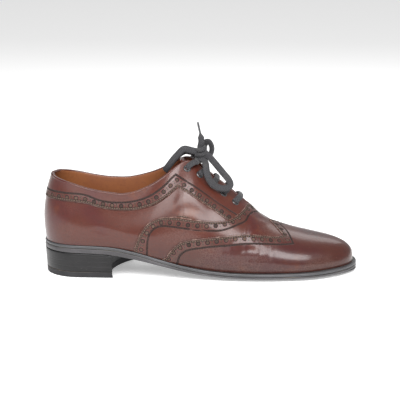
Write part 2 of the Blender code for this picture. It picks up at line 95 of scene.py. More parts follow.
# %% Sizes and tables of the last
LENGTH, BALL_WIDTH, INSTEP, HEEL_HEIGHT = 0.302, 0.104, 0.095, 0.0245
OUTSOLE, WELT, WELT_REACH, TOP_PIECE = 0.0048, 0.0027, 0.0054, 0.0055
WALL, GAP, CROWN, HEEL_TAPER = 0.0020, 0.0003, 0.0024, 0.0012
HEEL_ROUND, TOE_ROUND, TOE_POWER, NOSE_POWER = 0.115, 0.80, 2.25, 2.45
NOSE_HEIGHT, NOSE_TILT, BACK_LEAN, RIDGE_SHIFT = 0.0040, math.radians(50), 0.0076, 0.004
THROAT = 0.665                  # station where the opening closes
SHIFT = np.array((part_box("outsole")[0][0], -0.00434, 0.0))


class Table:
    """Rows of shares, read between rows by a smooth curve that never overshoots."""

    def __init__(self, columns, rows):
        self.columns = columns
        self.rows = np.array(rows)

    def at(self, name, station):
        x = self.rows[:, 0]
        y = self.rows[:, self.columns.index(name)]
        wide = np.diff(x)
        steep = np.diff(y) / wide
        both = steep[1:] * steep[:-1]
        whole = steep[1:] + steep[:-1]
        inner = np.where(both > 0, 2 * both / np.where(both > 0, whole, 1.0), 0.0)
        slope = np.concatenate((steep[:1], inner, steep[-1:]))
        station = np.clip(station, x[0], x[-1])
        k = np.clip(np.searchsorted(x, station, side="right") - 1, 0, len(wide) - 1)
        t = (station - x[k]) / wide[k]
        rise = y[k + 1] - y[k]
        start = slope[k] * wide[k]
        end = slope[k + 1] * wide[k]
        return y[k] + t * start + t * t * (3 * rise - 2 * start - end) \
            + t ** 3 * (start + end - 2 * rise)

    def soft(self, name, station):
        """The same, averaged over a short stretch, so that no row shows as a fold."""
        calm = np.minimum(np.minimum(station, 1 - station), np.abs(station - THROAT))
        reach = 0.014 * np.clip(calm / 0.03, 0.0, 1.0)
        return sum(share * self.at(name, station + reach * step) for step, share in
                   ((-1.0, 0.12), (-0.5, 0.22), (0.0, 0.32), (0.5, 0.22), (1.0, 0.12)))


PLAN = Table(("station", "outer", "inner", "underside", "reach", "crown"), [
    (0.00, 0.310, 0.310, 1.000, 0.18, 0.0),
    (0.08, 0.318, 0.316, 0.990, 0.18, 0.0),
    (0.16, 0.325, 0.318, 0.965, 0.20, 0.0),
    (0.22, 0.330, 0.312, 0.920, 0.25, 0.0),
    (0.30, 0.342, 0.290, 0.740, 0.40, 0.1),
    (0.38, 0.362, 0.275, 0.470, 0.60, 0.5),
    (0.46, 0.392, 0.290, 0.240, 0.80, 0.8),
    (0.54, 0.418, 0.345, 0.090, 0.95, 1.0),
    (0.62, 0.434, 0.440, 0.020, 1.00, 1.0),
    (0.70, 0.436, 0.505, 0.000, 1.00, 1.0),
    (0.78, 0.420, 0.520, 0.000, 1.00, 1.0),
    (0.86, 0.388, 0.492, 0.010, 1.00, 1.0),
    (0.93, 0.350, 0.442, 0.035, 1.00, 1.0),
    (1.00, 0.320, 0.385, 0.080, 1.00, 0.8),
])

UPPER = Table(("station", "outer_top", "inner_top", "opening", "lean", "close", "low", "high"), [
    (0.000, 0.668, 0.668, 0.284, 7, 72, 0.45, 0.45),
    (0.050, 0.640, 0.636, 0.290, 9, 82, 0.45, 0.45),
    (0.100, 0.610, 0.605, 0.300, 12, 90, 0.45, 0.45),
    (0.150, 0.570, 0.578, 0.305, 12, 95, 0.45, 0.45),
    (0.200, 0.545, 0.565, 0.305, 12, 95, 0.45, 0.45),
    (0.245, 0.540, 0.578, 0.300, 12, 95, 0.45, 0.45),
    (0.290, 0.580, 0.628, 0.288, 13, 95, 0.45, 0.45),
    (0.340, 0.680, 0.718, 0.256, 15, 88, 0.45, 0.45),
    (0.390, 0.815, 0.840, 0.204, 18, 75, 0.45, 0.45),
    (0.430, 0.940, 0.950, 0.145, 20, 60, 0.45, 0.45),
    (0.458, 1.004, 1.006, 0.105, 22, 48, 0.45, 0.45),
    (0.474, 1.006, 1.006, 0.091, 22, 45, 0.45, 0.48),
    (0.498, 0.964, 0.964, 0.078, 22, 41, 0.45, 0.50),
    (0.540, 0.868, 0.868, 0.061, 22, 36, 0.45, 0.50),
    (0.600, 0.740, 0.740, 0.037, 22, 30, 0.50, 0.55),
    (0.655, 0.606, 0.606, 0.016, 22, 18, 0.50, 0.55),
    (0.665, 0.574, 0.574, 0.000, 22, 0, 0.50, 0.55),
    (0.710, 0.448, 0.448, 0.000, 22, 0, 0.55, 0.55),
    (0.770, 0.354, 0.354, 0.000, 20, 0, 0.60, 0.55),
    (0.850, 0.288, 0.288, 0.000, 16, 0, 0.62, 0.58),
    (0.910, 0.266, 0.266, 0.000, 12, 0, 0.62, 0.60),
    (1.000, 0.256, 0.256, 0.000, 8, 0, 0.62, 0.60),
])

# %% [markdown]
# A station is a share of the length, so steps of it crowd nowhere, although the plan
# turns fast round the heel and the toe. The girth below runs with the outline instead:
# equal steps of it are nearly equal steps round the edge. Grids are laid out in girth
# and height, and only the last's own functions turn girth back into a station.

# %% The last as functions
HEEL_TURN = HEEL_ROUND * math.pi / 2
TOE_TURN = HEEL_TURN + TOE_ROUND - HEEL_ROUND
GIRTH = TOE_TURN + (1 - TOE_ROUND) * math.pi / 2
SIDES = ((-1, "outer"), (1, "inner"))


def station_of(girth):
    girth = np.clip(girth, 0.0, GIRTH)
    heel = HEEL_ROUND * (1 - np.cos(np.minimum(girth, HEEL_TURN) / HEEL_ROUND))
    toe_way = np.clip((girth - TOE_TURN) / (1 - TOE_ROUND), 0.0, math.pi / 2)
    toe = TOE_ROUND + (1 - TOE_ROUND) * np.sin(toe_way)
    middle = HEEL_ROUND + girth - HEEL_TURN
    return np.where(girth < HEEL_TURN, heel, np.where(girth > TOE_TURN, toe, middle))


def girth_of(station):
    station = np.asarray(station, float)
    heel = HEEL_ROUND * np.arccos(np.clip(1 - station / HEEL_ROUND, -1.0, 1.0))
    toe = TOE_TURN + (1 - TOE_ROUND) * np.arcsin(
        np.clip((station - TOE_ROUND) / (1 - TOE_ROUND), 0.0, 1.0))
    middle = HEEL_TURN + station - HEEL_ROUND
    return np.where(station < HEEL_ROUND, heel, np.where(station > TOE_ROUND, toe, middle))


def run_along(points):
    """Distance from the first point to each one."""
    return np.concatenate(((0.0,), np.cumsum(np.linalg.norm(np.diff(points, axis=0), axis=1))))


def between(line, k, f):
    """A smooth curve through a line's points, f of the way on from its point k + 1."""
    a, b, c, d = line[k], line[k + 1], line[k + 2], line[k + 3]
    return 0.5 * (2 * b + (c - a) * f + (2 * a - 5 * b + 4 * c - d) * f ** 2
                  + (3 * b - a - 3 * c + d) * f ** 3)


def rounded(station, first, power):
    """Share that is left where a form closes towards the toe."""
    way = np.clip((station - first) / (1 - first), 0.0, 1.0)
    return np.maximum(0.0, 1 - way ** power) ** (1 / power)


def heel_end(station):
    return np.sqrt(np.maximum(0.0, 1 - (1 - np.minimum(station, HEEL_ROUND) / HEEL_ROUND) ** 2))


def plan_point(station, across, inset=0.0):
    """Plan point, -1 at the outer edge and +1 at the inner edge."""
    outer = PLAN.at("outer", station) * BALL_WIDTH - inset
    inner = PLAN.at("inner", station) * BALL_WIDTH - inset
    half = (inner + outer) / 2 * heel_end(station) * rounded(station, TOE_ROUND, TOE_POWER)
    return inset + station * (LENGTH - 2 * inset), (inner - outer) / 2 + across * half


def underside(x):
    return PLAN.at("underside", x / LENGTH) * HEEL_HEIGHT


def welt_top(x):
    return underside(x) + OUTSOLE + GAP + WELT


def bare_point(girth, side, height):
    """Points on the last, with height 0 at the welt and 1 at the top edge."""
    s = station_of(girth)
    inset = PLAN.at("reach", s) * WELT_REACH
    x, y = plan_point(s, side, inset)
    foot = welt_top(x) + GAP
    tall = UPPER.soft("outer_top" if side < 0 else "inner_top", s) * INSTEP
    nose = rounded(s, TOE_ROUND, NOSE_POWER)
    tall = NOSE_HEIGHT + (tall - NOSE_HEIGHT) * nose
    opening = UPPER.soft("opening", s) * INSTEP * heel_end(s)
    ridge = RIDGE_SHIFT * np.clip((s - 0.4) / 0.4, 0.0, 1.0)
    tip = plan_point(np.ones_like(s), 0.0, inset)[1]
    ridge = ridge + (tip - ridge) * np.clip((s - TOE_ROUND) / (1 - TOE_ROUND), 0.0, 1.0) ** 3
    run_x = np.maximum(0.0, 1 - s / 0.2) ** 2 * BACK_LEAN
    run_y = ridge + side * opening - y
    reach = np.hypot(run_x, run_y)
    lean = np.radians(UPPER.soft("lean", s)) * np.minimum(1.0, nose * 2)
    close = np.radians(UPPER.soft("close", s))
    low = UPPER.soft("low", s) * tall
    high = UPPER.soft("high", s) * (reach * np.cos(close) ** 2 + tall * np.sin(close) ** 2)
    t = height
    a, b, c, d = (1 - t) ** 3, 3 * t * (1 - t) ** 2, 3 * t * t * (1 - t), t ** 3
    out = -b * np.sin(lean) * low + c * (reach - np.cos(close) * high) + d * reach
    rise = b * np.cos(lean) * low + c * (tall - np.sin(close) * high) + d * tall
    share = out / np.maximum(reach, 1e-6)
    return np.stack((x + run_x * share, y + run_y * share, foot + rise), -1) + SHIFT


def last_normal(girth, side, height, ahead=0.004, above=0.012):
    """Unit normals of the last, from points a small step apart in girth and in height."""
    a = bare_point(np.minimum(girth + ahead, GIRTH), side, height)
    b = bare_point(np.maximum(girth - ahead, 0.0), side, height)
    c = bare_point(girth, side, np.minimum(height + above, 1.0))
    d = bare_point(girth, side, np.maximum(height - above, 0.0))
    normal = np.cross(c - d, a - b) * side
    normal /= np.maximum(np.linalg.norm(normal, axis=-1, keepdims=True), 1e-12)
    tip = np.clip((girth - GIRTH + 0.05) / 0.05, 0.0, 1.0)[..., None] ** 2
    tilt = NOSE_TILT * height
    nose = np.stack((np.cos(tilt), np.zeros_like(tilt), np.sin(tilt)), -1)
    normal = normal * (1 - tip) + nose * tip
    foot = np.clip(1 - height / 0.04, 0.0, 1.0)[..., None]
    normal = normal * np.concatenate((np.ones_like(foot), np.ones_like(foot), 1 - foot), -1)
    return normal / np.linalg.norm(normal, axis=-1, keepdims=True)


print("round the edge from heel to toe: %.0f mm" % (GIRTH * LENGTH * 1000))

# %% [markdown]
# Worn leather keeps the folds of walking: a few long ones across the vamp, where the
# toes bend, and short upright ones on the side of the ball. They are drawn as lines in
# station and height, each a soft trough with a low ridge on either side. Being part of
# the last's surface, they carry through every layer, as real folds do.

# %% Creases
FOLD_LONG, FOLD_TALL = LENGTH * 1000, 84.0     # millimetres in one station and one height
CREASES = [
    # station and height of both ends, width and depth in millimetres, which sides
    ((0.700, 1.00), (0.640, 0.60), 2.6, 0.55, (-1, 1)),
    ((0.722, 1.00), (0.668, 0.66), 2.2, 0.45, (-1, 1)),
    ((0.680, 1.00), (0.655, 0.80), 2.0, 0.35, (-1, 1)),
    ((0.560, 0.20), (0.700, 0.33), 2.6, 0.30, (-1, 1)),
    ((0.585, 0.12), (0.720, 0.22), 2.4, 0.25, (-1, 1)),
    ((0.566, 0.10), (0.580, 0.30), 1.6, 0.22, (-1,)),
    ((0.598, 0.10), (0.612, 0.36), 1.7, 0.26, (-1, 1)),
    ((0.628, 0.08), (0.640, 0.38), 1.5, 0.24, (-1,)),
    ((0.657, 0.10), (0.668, 0.42), 1.8, 0.28, (-1, 1)),
    ((0.690, 0.12), (0.702, 0.44), 1.5, 0.22, (-1,)),
    ((0.722, 0.12), (0.738, 0.44), 1.8, 0.22, (-1, 1)),
    ((0.160, 0.28), (0.300, 0.16), 5.0, 0.30, (-1, 1)),
    ((0.420, 0.52), (0.560, 0.50), 4.5, 0.40, (-1, 1)),
    ((0.300, 0.60), (0.400, 0.64), 4.0, 0.30, (1,)),
]


def relief(girth, side, height):
    s = station_of(girth)
    x, y = s * LENGTH * 1000, height * FOLD_TALL
    depth = np.zeros_like(x)
    for start, end, wide, deep, sides in CREASES:
        if side not in sides:
            continue
        ax, ay = start[0] * FOLD_LONG, start[1] * FOLD_TALL
        bx, by = end[0] * FOLD_LONG, end[1] * FOLD_TALL
        dx, dy = bx - ax, by - ay
        way = np.clip(((x - ax) * dx + (y - ay) * dy) / (dx * dx + dy * dy), 0.0, 1.0)
        bend = 1.2 * np.sin(way * math.pi * 1.6 + ax)
        off = np.hypot(x - ax - way * dx + bend, y - ay - way * dy + 0.4 * bend)
        fade = 1 - (2 * way - 1) ** 4 * 0.8
        depth += deep * fade * (0.45 * np.exp(-((off - 2.1 * wide) / wide) ** 2)
                                - np.exp(-(off / wide) ** 2))
    return depth / 1000


def skin(girth, side, height, lift=0.0, folds=1.0):
    """Points a lift above the last, folds included."""
    girth = np.asarray(girth, float)
    height = np.asarray(height, float)
    up = lift + folds * relief(girth, side, height)
    return bare_point(girth, side, height) + last_normal(girth, side, height) * up[..., None]


print("creases:", len(CREASES))

# %% [markdown]
# Every sheet starts as a grid primitive. Its vertices hold their own places across the
# grid, so one function that turns those two numbers into a point shapes the whole sheet,
# however fine it is. Where edges meet, the doubles are merged in edit mode. Finished
# pieces ride on the shoe's one body and hide the solids they stand for.

# %% Grids shaped on the last
MERGE = 0.00002                 # points nearer than this become one


def store(piece, label, values):
    layer = piece.data.attributes.new(label, "FLOAT", "POINT")
    layer.data.foreach_set("value", np.asarray(values, dtype=np.float32))


def edit(piece, *steps):
    """Runs steps in edit mode, on all of a piece."""
    bpy.context.view_layer.objects.active = piece
    bpy.ops.object.mode_set(mode="EDIT")
    bpy.ops.mesh.select_all(action="SELECT")
    for step in steps:
        step()
    bpy.ops.object.mode_set(mode="OBJECT")


def merge_doubles():
    bpy.ops.mesh.remove_doubles(threshold=MERGE)


def shaped_grid(name, columns, rows, place, welded=False, fields=None):
    """A grid whose point at (u, v) goes to place(u, v); u and v are arrays from 0 to 1.

    fields maps labels to functions of u and v, whose values the material can read.
    """
    bpy.ops.mesh.primitive_grid_add(x_subdivisions=columns, y_subdivisions=rows, size=2)
    piece = bpy.context.object
    piece.name = piece.data.name = name
    flat = np.empty(len(piece.data.vertices) * 3)
    piece.data.vertices.foreach_get("co", flat)
    flat = flat.reshape(-1, 3)
    u, v = (flat[:, 0] + 1) / 2, (flat[:, 1] + 1) / 2
    piece.data.vertices.foreach_set("co", place(u, v).ravel())
    for label, values in (fields or {}).items():
        store(piece, label, values(u, v))
    piece.data.update()
    if welded:
        edit(piece, merge_doubles, lambda: bpy.ops.mesh.normals_make_consistent(inside=False))
    bpy.ops.object.shade_smooth()
    piece.select_set(False)
    return piece


def check_outward(piece):
    """Flips the piece if its faces point into the last."""
    polygon = piece.data.polygons[len(piece.data.polygons) // 2]
    centre = np.array(polygon.center)
    core = np.array((centre[0], SHIFT[1] + 0.003, min(centre[2], 0.03)))
    if np.dot(np.array(polygon.normal), centre - core) < 0:
        edit(piece, bpy.ops.mesh.flip_normals)


def joined(name, pieces):
    """One object from several, with the vertices that meet made one."""
    bpy.ops.object.select_all(action="DESELECT")
    for piece in pieces:
        piece.select_set(True)
    bpy.context.view_layer.objects.active = pieces[0]
    bpy.ops.object.join()
    piece = bpy.context.object
    edit(piece, merge_doubles)
    piece.name = piece.data.name = name
    piece.select_set(False)
    return piece


def finish_piece(piece, look, slot, *nodes):
    piece.data.materials.clear()
    piece.data.materials.append(look)
    if nodes:
        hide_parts(*nodes)
    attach(piece, "root")
    print("%s: %d faces" % (piece.name, len(piece.data.polygons)))


# %% [markdown]
# Brogue work follows lines: a pinked edge, a row of punched holes, a row of stitching.
# Each line is drawn once, as seen from the outer side, and traced on the last every half
# millimetre. Any sheet can then ask, for each of its vertices, how far along the line
# and how far off it lies. The materials read the two numbers and punch holes or lay
# stitches of a true size, wherever the line goes.

# %% Lines on the last
LINES = {
    # station, and the height over the floor in millimetres. Up to 1 it is a share of the
    # last's own height instead, for lines that cross its top.
    "vamp_edge": [
        (0.296, 26.0), (0.297, 29.8), (0.303, 36.4), (0.315, 43.9), (0.329, 50.2), (0.348, 55.2),
        (0.375, 58.8), (0.407, 60.6), (0.446, 61.0), (0.492, 58.8), (0.538, 56.8), (0.568, 56.2),
        (0.596, 56.5)],
    "rise_edge": [
        (0.596, 56.5), (0.621, 0.66), (0.643, 0.81), (0.654, 0.95), (0.665, 1.00)],
    "vamp_holes": [
        (0.315, 25.0), (0.320, 33.9), (0.329, 41.9), (0.348, 49.2), (0.374, 54.3), (0.407, 55.7),
        (0.434, 55.6), (0.463, 54.8), (0.492, 53.8), (0.521, 52.9), (0.550, 52.6), (0.579, 53.2),
        (0.605, 54.2)],
    "rise_holes": [
        (0.605, 54.2), (0.632, 0.66), (0.654, 0.81), (0.667, 0.92), (0.677, 1.00)],
    "vamp_inner": [
        (0.335, 24.0), (0.336, 28.0), (0.338, 36.9), (0.345, 44.3), (0.360, 49.4), (0.382, 52.1),
        (0.407, 52.5), (0.446, 51.9), (0.492, 50.2), (0.538, 48.7), (0.570, 48.5), (0.600, 50.0),
        (0.625, 51.9)],
    "rise_inner": [
        (0.625, 51.9), (0.648, 0.64), (0.666, 0.78), (0.678, 0.90), (0.689, 1.00)],
    "wing_edge": [
        (0.379, 19.0), (0.395, 21.9), (0.411, 28.8), (0.428, 34.3), (0.446, 38.2), (0.471, 40.6),
        (0.505, 41.8), (0.538, 42.4), (0.585, 43.2), (0.631, 43.4), (0.667, 42.8), (0.690, 41.4),
        (0.718, 39.6), (0.753, 37.6), (0.774, 37.8)],
    "peak_edge": [
        (0.774, 37.8), (0.752, 0.84), (0.726, 1.00)],
    "wing_holes": [
        (0.396, 18.0), (0.408, 22.1), (0.426, 28.9), (0.450, 34.1), (0.476, 36.5), (0.508, 37.6),
        (0.538, 38.3), (0.570, 39.2), (0.600, 40.0), (0.630, 40.2), (0.657, 39.5), (0.685, 38.4),
        (0.718, 36.8), (0.752, 34.8), (0.788, 34.2)],
    "peak_holes": [
        (0.788, 34.2), (0.769, 0.82), (0.743, 1.00)],
    "wing_inner": [
        (0.432, 15.4), (0.440, 23.9), (0.455, 29.2), (0.476, 31.9), (0.508, 33.3), (0.538, 34.3),
        (0.585, 35.1), (0.631, 35.6), (0.668, 35.5), (0.690, 34.8), (0.718, 33.8), (0.753, 32.4),
        (0.785, 31.6), (0.806, 31.5)],
    "peak_inner": [
        (0.806, 31.5), (0.787, 0.81), (0.762, 1.00)],
    "collar_edge": [
        (0.000, 75.1), (0.070, 74.4), (0.140, 72.3), (0.189, 68.2), (0.240, 65.8), (0.293, 65.8),
        (0.339, 68.6), (0.369, 72.1), (0.399, 78.0), (0.417, 82.6), (0.434, 86.9)],
    "facing_edge": [
        (0.434, 86.9), (0.461, 83.4), (0.491, 77.8), (0.522, 71.4), (0.552, 65.3), (0.590, 57.6),
        (0.640, 48.0)],
    "collar_holes": [
        (0.000, 78.7), (0.070, 78.2), (0.130, 77.0), (0.170, 73.9), (0.197, 71.9), (0.224, 70.6),
        (0.253, 69.9), (0.281, 70.1), (0.310, 71.2), (0.335, 73.2), (0.360, 76.6), (0.383, 81.2),
        (0.407, 87.4), (0.429, 93.4)],
    "facing_holes": [
        (0.429, 93.4), (0.455, 89.3), (0.479, 84.8), (0.503, 79.8), (0.525, 75.0), (0.549, 69.7),
        (0.585, 62.0), (0.630, 53.0)],
    "collar_inner": [
        (0.000, 82.4), (0.070, 82.2), (0.135, 81.0), (0.180, 76.2), (0.215, 73.9), (0.250, 73.2),
        (0.280, 73.6), (0.308, 75.1), (0.332, 77.4), (0.356, 80.8), (0.381, 85.9), (0.398, 90.1),
        (0.412, 94.4), (0.426, 97.9)],
    "facing_inner": [
        (0.426, 97.9), (0.459, 92.8), (0.491, 86.8), (0.521, 80.1), (0.552, 73.3), (0.581, 67.5),
        (0.640, 56.5)],
}


def height_of(girth, millimetres):
    """Share of the outer side's height that lies so far over the floor."""
    steps = np.linspace(0.0, 1.0, 161)
    column = bare_point(np.repeat(girth, len(steps)), -1, np.tile(steps, len(girth)))[:, 2]
    column = np.maximum.accumulate(column.reshape(-1, len(steps)) * 1000, axis=1)
    return np.array([np.interp(tall, row, steps) for tall, row in zip(millimetres, column)])


def smooth_line(points, count=400):
    """A smooth curve through a line's points, as arrays of girth and height."""
    points = np.array(points)
    girth, tall = girth_of(points[:, 0]), points[:, 1]
    level = tall.min() > 1
    if not level:
        tall = np.where(tall > 1, height_of(girth, tall), tall)
    scale = 1 / (LENGTH * 1000) if level else 0.28
    way = run_along(np.stack((girth, tall * scale), -1))
    t = np.linspace(0.0, way[-1], count)
    k = np.clip(np.searchsorted(way, t, side="right") - 1, 0, len(way) - 2)
    f = (t - way[k]) / (way[k + 1] - way[k])
    girth, tall = [between(np.array((2 * line[0] - line[1], *line, 2 * line[-1] - line[-2])), k, f)
                   for line in (girth, tall)]
    girth = np.clip(girth, 0.0, GIRTH)
    return girth, height_of(girth, tall) if level else np.clip(tall, 0.0, 1.0)


def even_line(name, side, step):
    """Girth, height and run of points a step apart along a line on the last."""
    girth, height = smooth_line(LINES[name])
    run = run_along(bare_point(girth, side, height))
    even = np.linspace(0.0, run[-1], max(2, int(round(run[-1] / step)) + 1))
    return np.interp(even, run, girth), np.interp(even, run, height), even


def measure(piece, side, lift, label, *names):
    """Stores how far along a line and how far off it each vertex lies, in millimetres."""
    places, runs, start = [], [], 0.0
    for name in names:
        girth, height, run = even_line(name, side, 0.0005)
        places.append(skin(girth, side, height, np.full_like(girth, lift)))
        runs.append(run + start)
        start = runs[-1][-1]
    place, run = np.concatenate(places), np.concatenate(runs)
    ahead = np.gradient(place, axis=0)
    ahead /= np.maximum(np.linalg.norm(ahead, axis=1, keepdims=True), 1e-12)
    tree = KDTree(len(place))
    for k, point in enumerate(place):
        tree.insert(point, k)
    tree.balance()
    spots = np.array([vertex.co[:] for vertex in piece.data.vertices])
    nearest = np.array([tree.find(spot)[1] for spot in spots])
    away = spots - place[nearest]
    past = np.clip((away * ahead[nearest]).sum(1), -0.0004, 0.0004)
    off = np.linalg.norm(away - ahead[nearest] * past[:, None], axis=1)
    store(piece, label + "_run", (run[nearest] + past) * 1000)
    store(piece, label + "_off", off * 1000)


print("lines:", len(LINES))

# %% [markdown]
# The floor is a wide pale sheet with light from all round, as in a picture cut out on
# white. What matters on dark polished leather is what it reflects. A wide bright lamp
# high in front gives the pale gloss on the facing and on the side of the wing. A smaller
# one on the heel's side carries it round the quarter, and a weaker one behind lifts the
# edge of the collar.

# %% Floor and lamps
def paper():
    look = bpy.data.materials.new("pale_floor")
    look.use_nodes = True
    shader = look.node_tree.nodes["Principled BSDF"]
    shader.inputs["Base Color"].default_value = (0.95, 0.95, 0.95, 1)
    shader.inputs["Roughness"].default_value = 0.9
    shader.inputs["Specular IOR Level"].default_value = 0.1
    shader.inputs["Emission Color"].default_value = (1, 1, 1, 1)
    shader.inputs["Emission Strength"].default_value = 0.34
    return look


def lamp(name, place, aim, wide, tall, watts):
    bpy.ops.object.light_add(type="AREA", location=place)
    light = bpy.context.object
    light.name = name
    light.data.shape = "RECTANGLE"
    light.data.size, light.data.size_y = wide, tall
    light.data.energy = watts
    light.rotation_euler = (Vector(aim) - Vector(place)).to_track_quat("-Z", "Y").to_euler()


bpy.ops.mesh.primitive_plane_add(size=60.0, location=(0, 0, 0))
floor = bpy.context.object
floor.name = "floor"
floor.data.materials.append(paper())
lamp("softbox_wide", (0.24, -0.97, 1.04), (-0.01, -0.03, 0.085), 1.45, 0.70, 26.0)
lamp("softbox_left", (-0.66, -0.90, 0.86), (-0.02, -0.03, 0.08), 0.62, 0.50, 5.6)
lamp("strip_behind", (0.10, 1.10, 0.90), (0.0, 0.0, 0.08), 1.4, 0.5, 4.0)
sky = bpy.data.worlds.new("white_room")
sky.use_nodes = True
sky.node_tree.nodes["Background"].inputs["Color"].default_value = (1.0, 1.0, 1.0, 1)
sky.node_tree.nodes["Background"].inputs["Strength"].default_value = 0.40
bpy.context.scene.world = sky
bpy.context.scene.view_settings.view_transform = "Standard"

# %% [markdown]
# A material here is arithmetic on a few fields: the place on the leather, the distance
# from a line, some noise. Written as Python expressions it stays readable, so one small
# class wraps a socket and lets + and * add the Math nodes. The other class holds one
# material and makes every other node.

# %% Sockets that do arithmetic
class Field:
    """A value that varies over a surface."""

    def __init__(self, recipe, socket):
        self.recipe, self.socket = recipe, socket

    def math(self, operation, *others):
        return self.recipe.node("ShaderNodeMath", {"operation": operation}, (self, *others))

    def __add__(self, other): return self.math("ADD", other)
    def __sub__(self, other): return self.math("SUBTRACT", other)
    def __mul__(self, other): return self.math("MULTIPLY", other)
    def __truediv__(self, other): return self.math("DIVIDE", other)
    def __rsub__(self, other):
        return self.recipe.node("ShaderNodeMath", {"operation": "SUBTRACT"}, (other, self))
    __radd__ = __add__
    __rmul__ = __mul__

    def clipped(self):
        return self.recipe.node("ShaderNodeClamp", {}, (self, 0.0, 1.0))

    def step(self, low, high):
        """0 below low, 1 above high and a soft rise between."""
        return self.recipe.node("ShaderNodeMapRange", {"interpolation_type": "SMOOTHSTEP"},
                                {"Value": self, "From Min": low, "From Max": high,
                                 "To Min": 0.0, "To Max": 1.0})

    def within(self, reach, soft):
        """1 where the value is below reach, falling to 0 over soft."""
        return 1 - self.step(reach, reach + soft)


class Recipe:
    """One material: its nodes, its shader and what is plugged in."""

    def __init__(self, name, roughness, coat=0.0, coat_roughness=0.2, specular=0.5, sheen=0.0):
        self.look = bpy.data.materials.new(name)
        self.look.use_nodes = True
        self.tree = self.look.node_tree
        self.shader = self.tree.nodes["Principled BSDF"]
        for label, value in (("Roughness", roughness), ("Coat Weight", coat),
                             ("Coat Roughness", coat_roughness),
                             ("Specular IOR Level", specular), ("Sheen Weight", sheen)):
            self.shader.inputs[label].default_value = value

    def node(self, kind, settings, inputs=(), output=0):
        made_node = self.tree.nodes.new(kind)
        for label, value in settings.items():
            setattr(made_node, label, value)
        pairs = inputs.items() if isinstance(inputs, dict) else enumerate(inputs)
        for label, value in pairs:
            self.plug(made_node.inputs[label], value)
        return Field(self, made_node.outputs[output])

    def plug(self, socket, value):
        if isinstance(value, Field):
            self.tree.links.new(value.socket, socket)
        elif value is not None:
            socket.default_value = value

    def place(self):
        return self.node("ShaderNodeTexCoord", {}, (), "Object")

    def field(self, label):
        return self.node("ShaderNodeAttribute", {"attribute_name": label}, (), "Fac")

    def noise(self, scale, detail=3.0, rough=0.55, where=None, stretch=(1, 1, 1)):
        where = where or self.place()
        if stretch != (1, 1, 1):
            where = self.node("ShaderNodeMapping", {}, {"Vector": where, "Scale": stretch})
        return self.node("ShaderNodeTexNoise", {}, {
            "Vector": where, "Scale": scale, "Detail": detail, "Roughness": rough}, "Fac")

    def cells(self, scale, where=None):
        return self.node("ShaderNodeTexVoronoi", {"feature": "DISTANCE_TO_EDGE"}, {
            "Vector": where or self.place(), "Scale": scale}, "Distance")

    def mix(self, share, first, second):
        """First colour where the share is 0, second where it is 1."""
        made_node = self.tree.nodes.new("ShaderNodeMix")
        made_node.data_type = "RGBA"
        self.plug(made_node.inputs[0], share)
        for k, colour in ((6, first), (7, second)):
            value = colour if isinstance(colour, Field) else (*colour, 1.0)
            self.plug(made_node.inputs[k], value)
        return Field(self, made_node.outputs[2])

    def finish(self, colour, roughness=None, height_mm=None, coat=None):
        value = colour if isinstance(colour, Field) else (*colour, 1.0)
        self.plug(self.shader.inputs["Base Color"], value)
        self.plug(self.shader.inputs["Roughness"], roughness)
        self.plug(self.shader.inputs["Coat Weight"], coat)
        if height_mm is not None:
            bump = self.node("ShaderNodeBump", {}, {
                "Strength": 1.0, "Distance": 0.001, "Height": height_mm}, "Normal")
            self.plug(self.shader.inputs["Normal"], bump)
        return self.look


def srgb(code):
    """Linear colour from a colour code as a painter would pick it."""
    parts = [int(code[k:k + 2], 16) / 255 for k in (0, 2, 4)]
    return tuple(p / 12.92 if p <= 0.04045 else ((p + 0.055) / 1.055) ** 2.4 for p in parts)


# %% [markdown]
# The leather is calf, dyed brown, burnished darker with wax and worn lighter where it
# bends, where pale specks and net lines are partly wear and partly painted glints. Large
# soft patches drift between brown, burgundy and orange, and painted shade darkens it towards
# the welt; fine pores and a net of tiny wrinkles come from noise and cells as bump, and grow
# stronger on the ball. Band work adds four things at their own distances from a line: a
# pinched edge, rows of stitches, punched holes with a pair of pinholes between them, and old
# wax in them all. Painted shade darkens the stitch grooves, the pinholes and a ring round each
# hole's floor, and the pale lip of each pinked edge is partly wear and partly a painted glint.

# %% Leather
COAT = 0.48                     # weight of the wax over sound leather
BROWN, BURGUNDY, ORANGE = srgb("4e2217"), srgb("481a19"), srgb("5f2b12")
# The darkest colour is both the leather's dark tone and painted shade; the palest is both wear and
# painted glints.
DULL, DARK_TONE_AND_SHADE, WEAR_AND_GLINT = srgb("4a352b"), srgb("1c110e"), srgb("94786b")


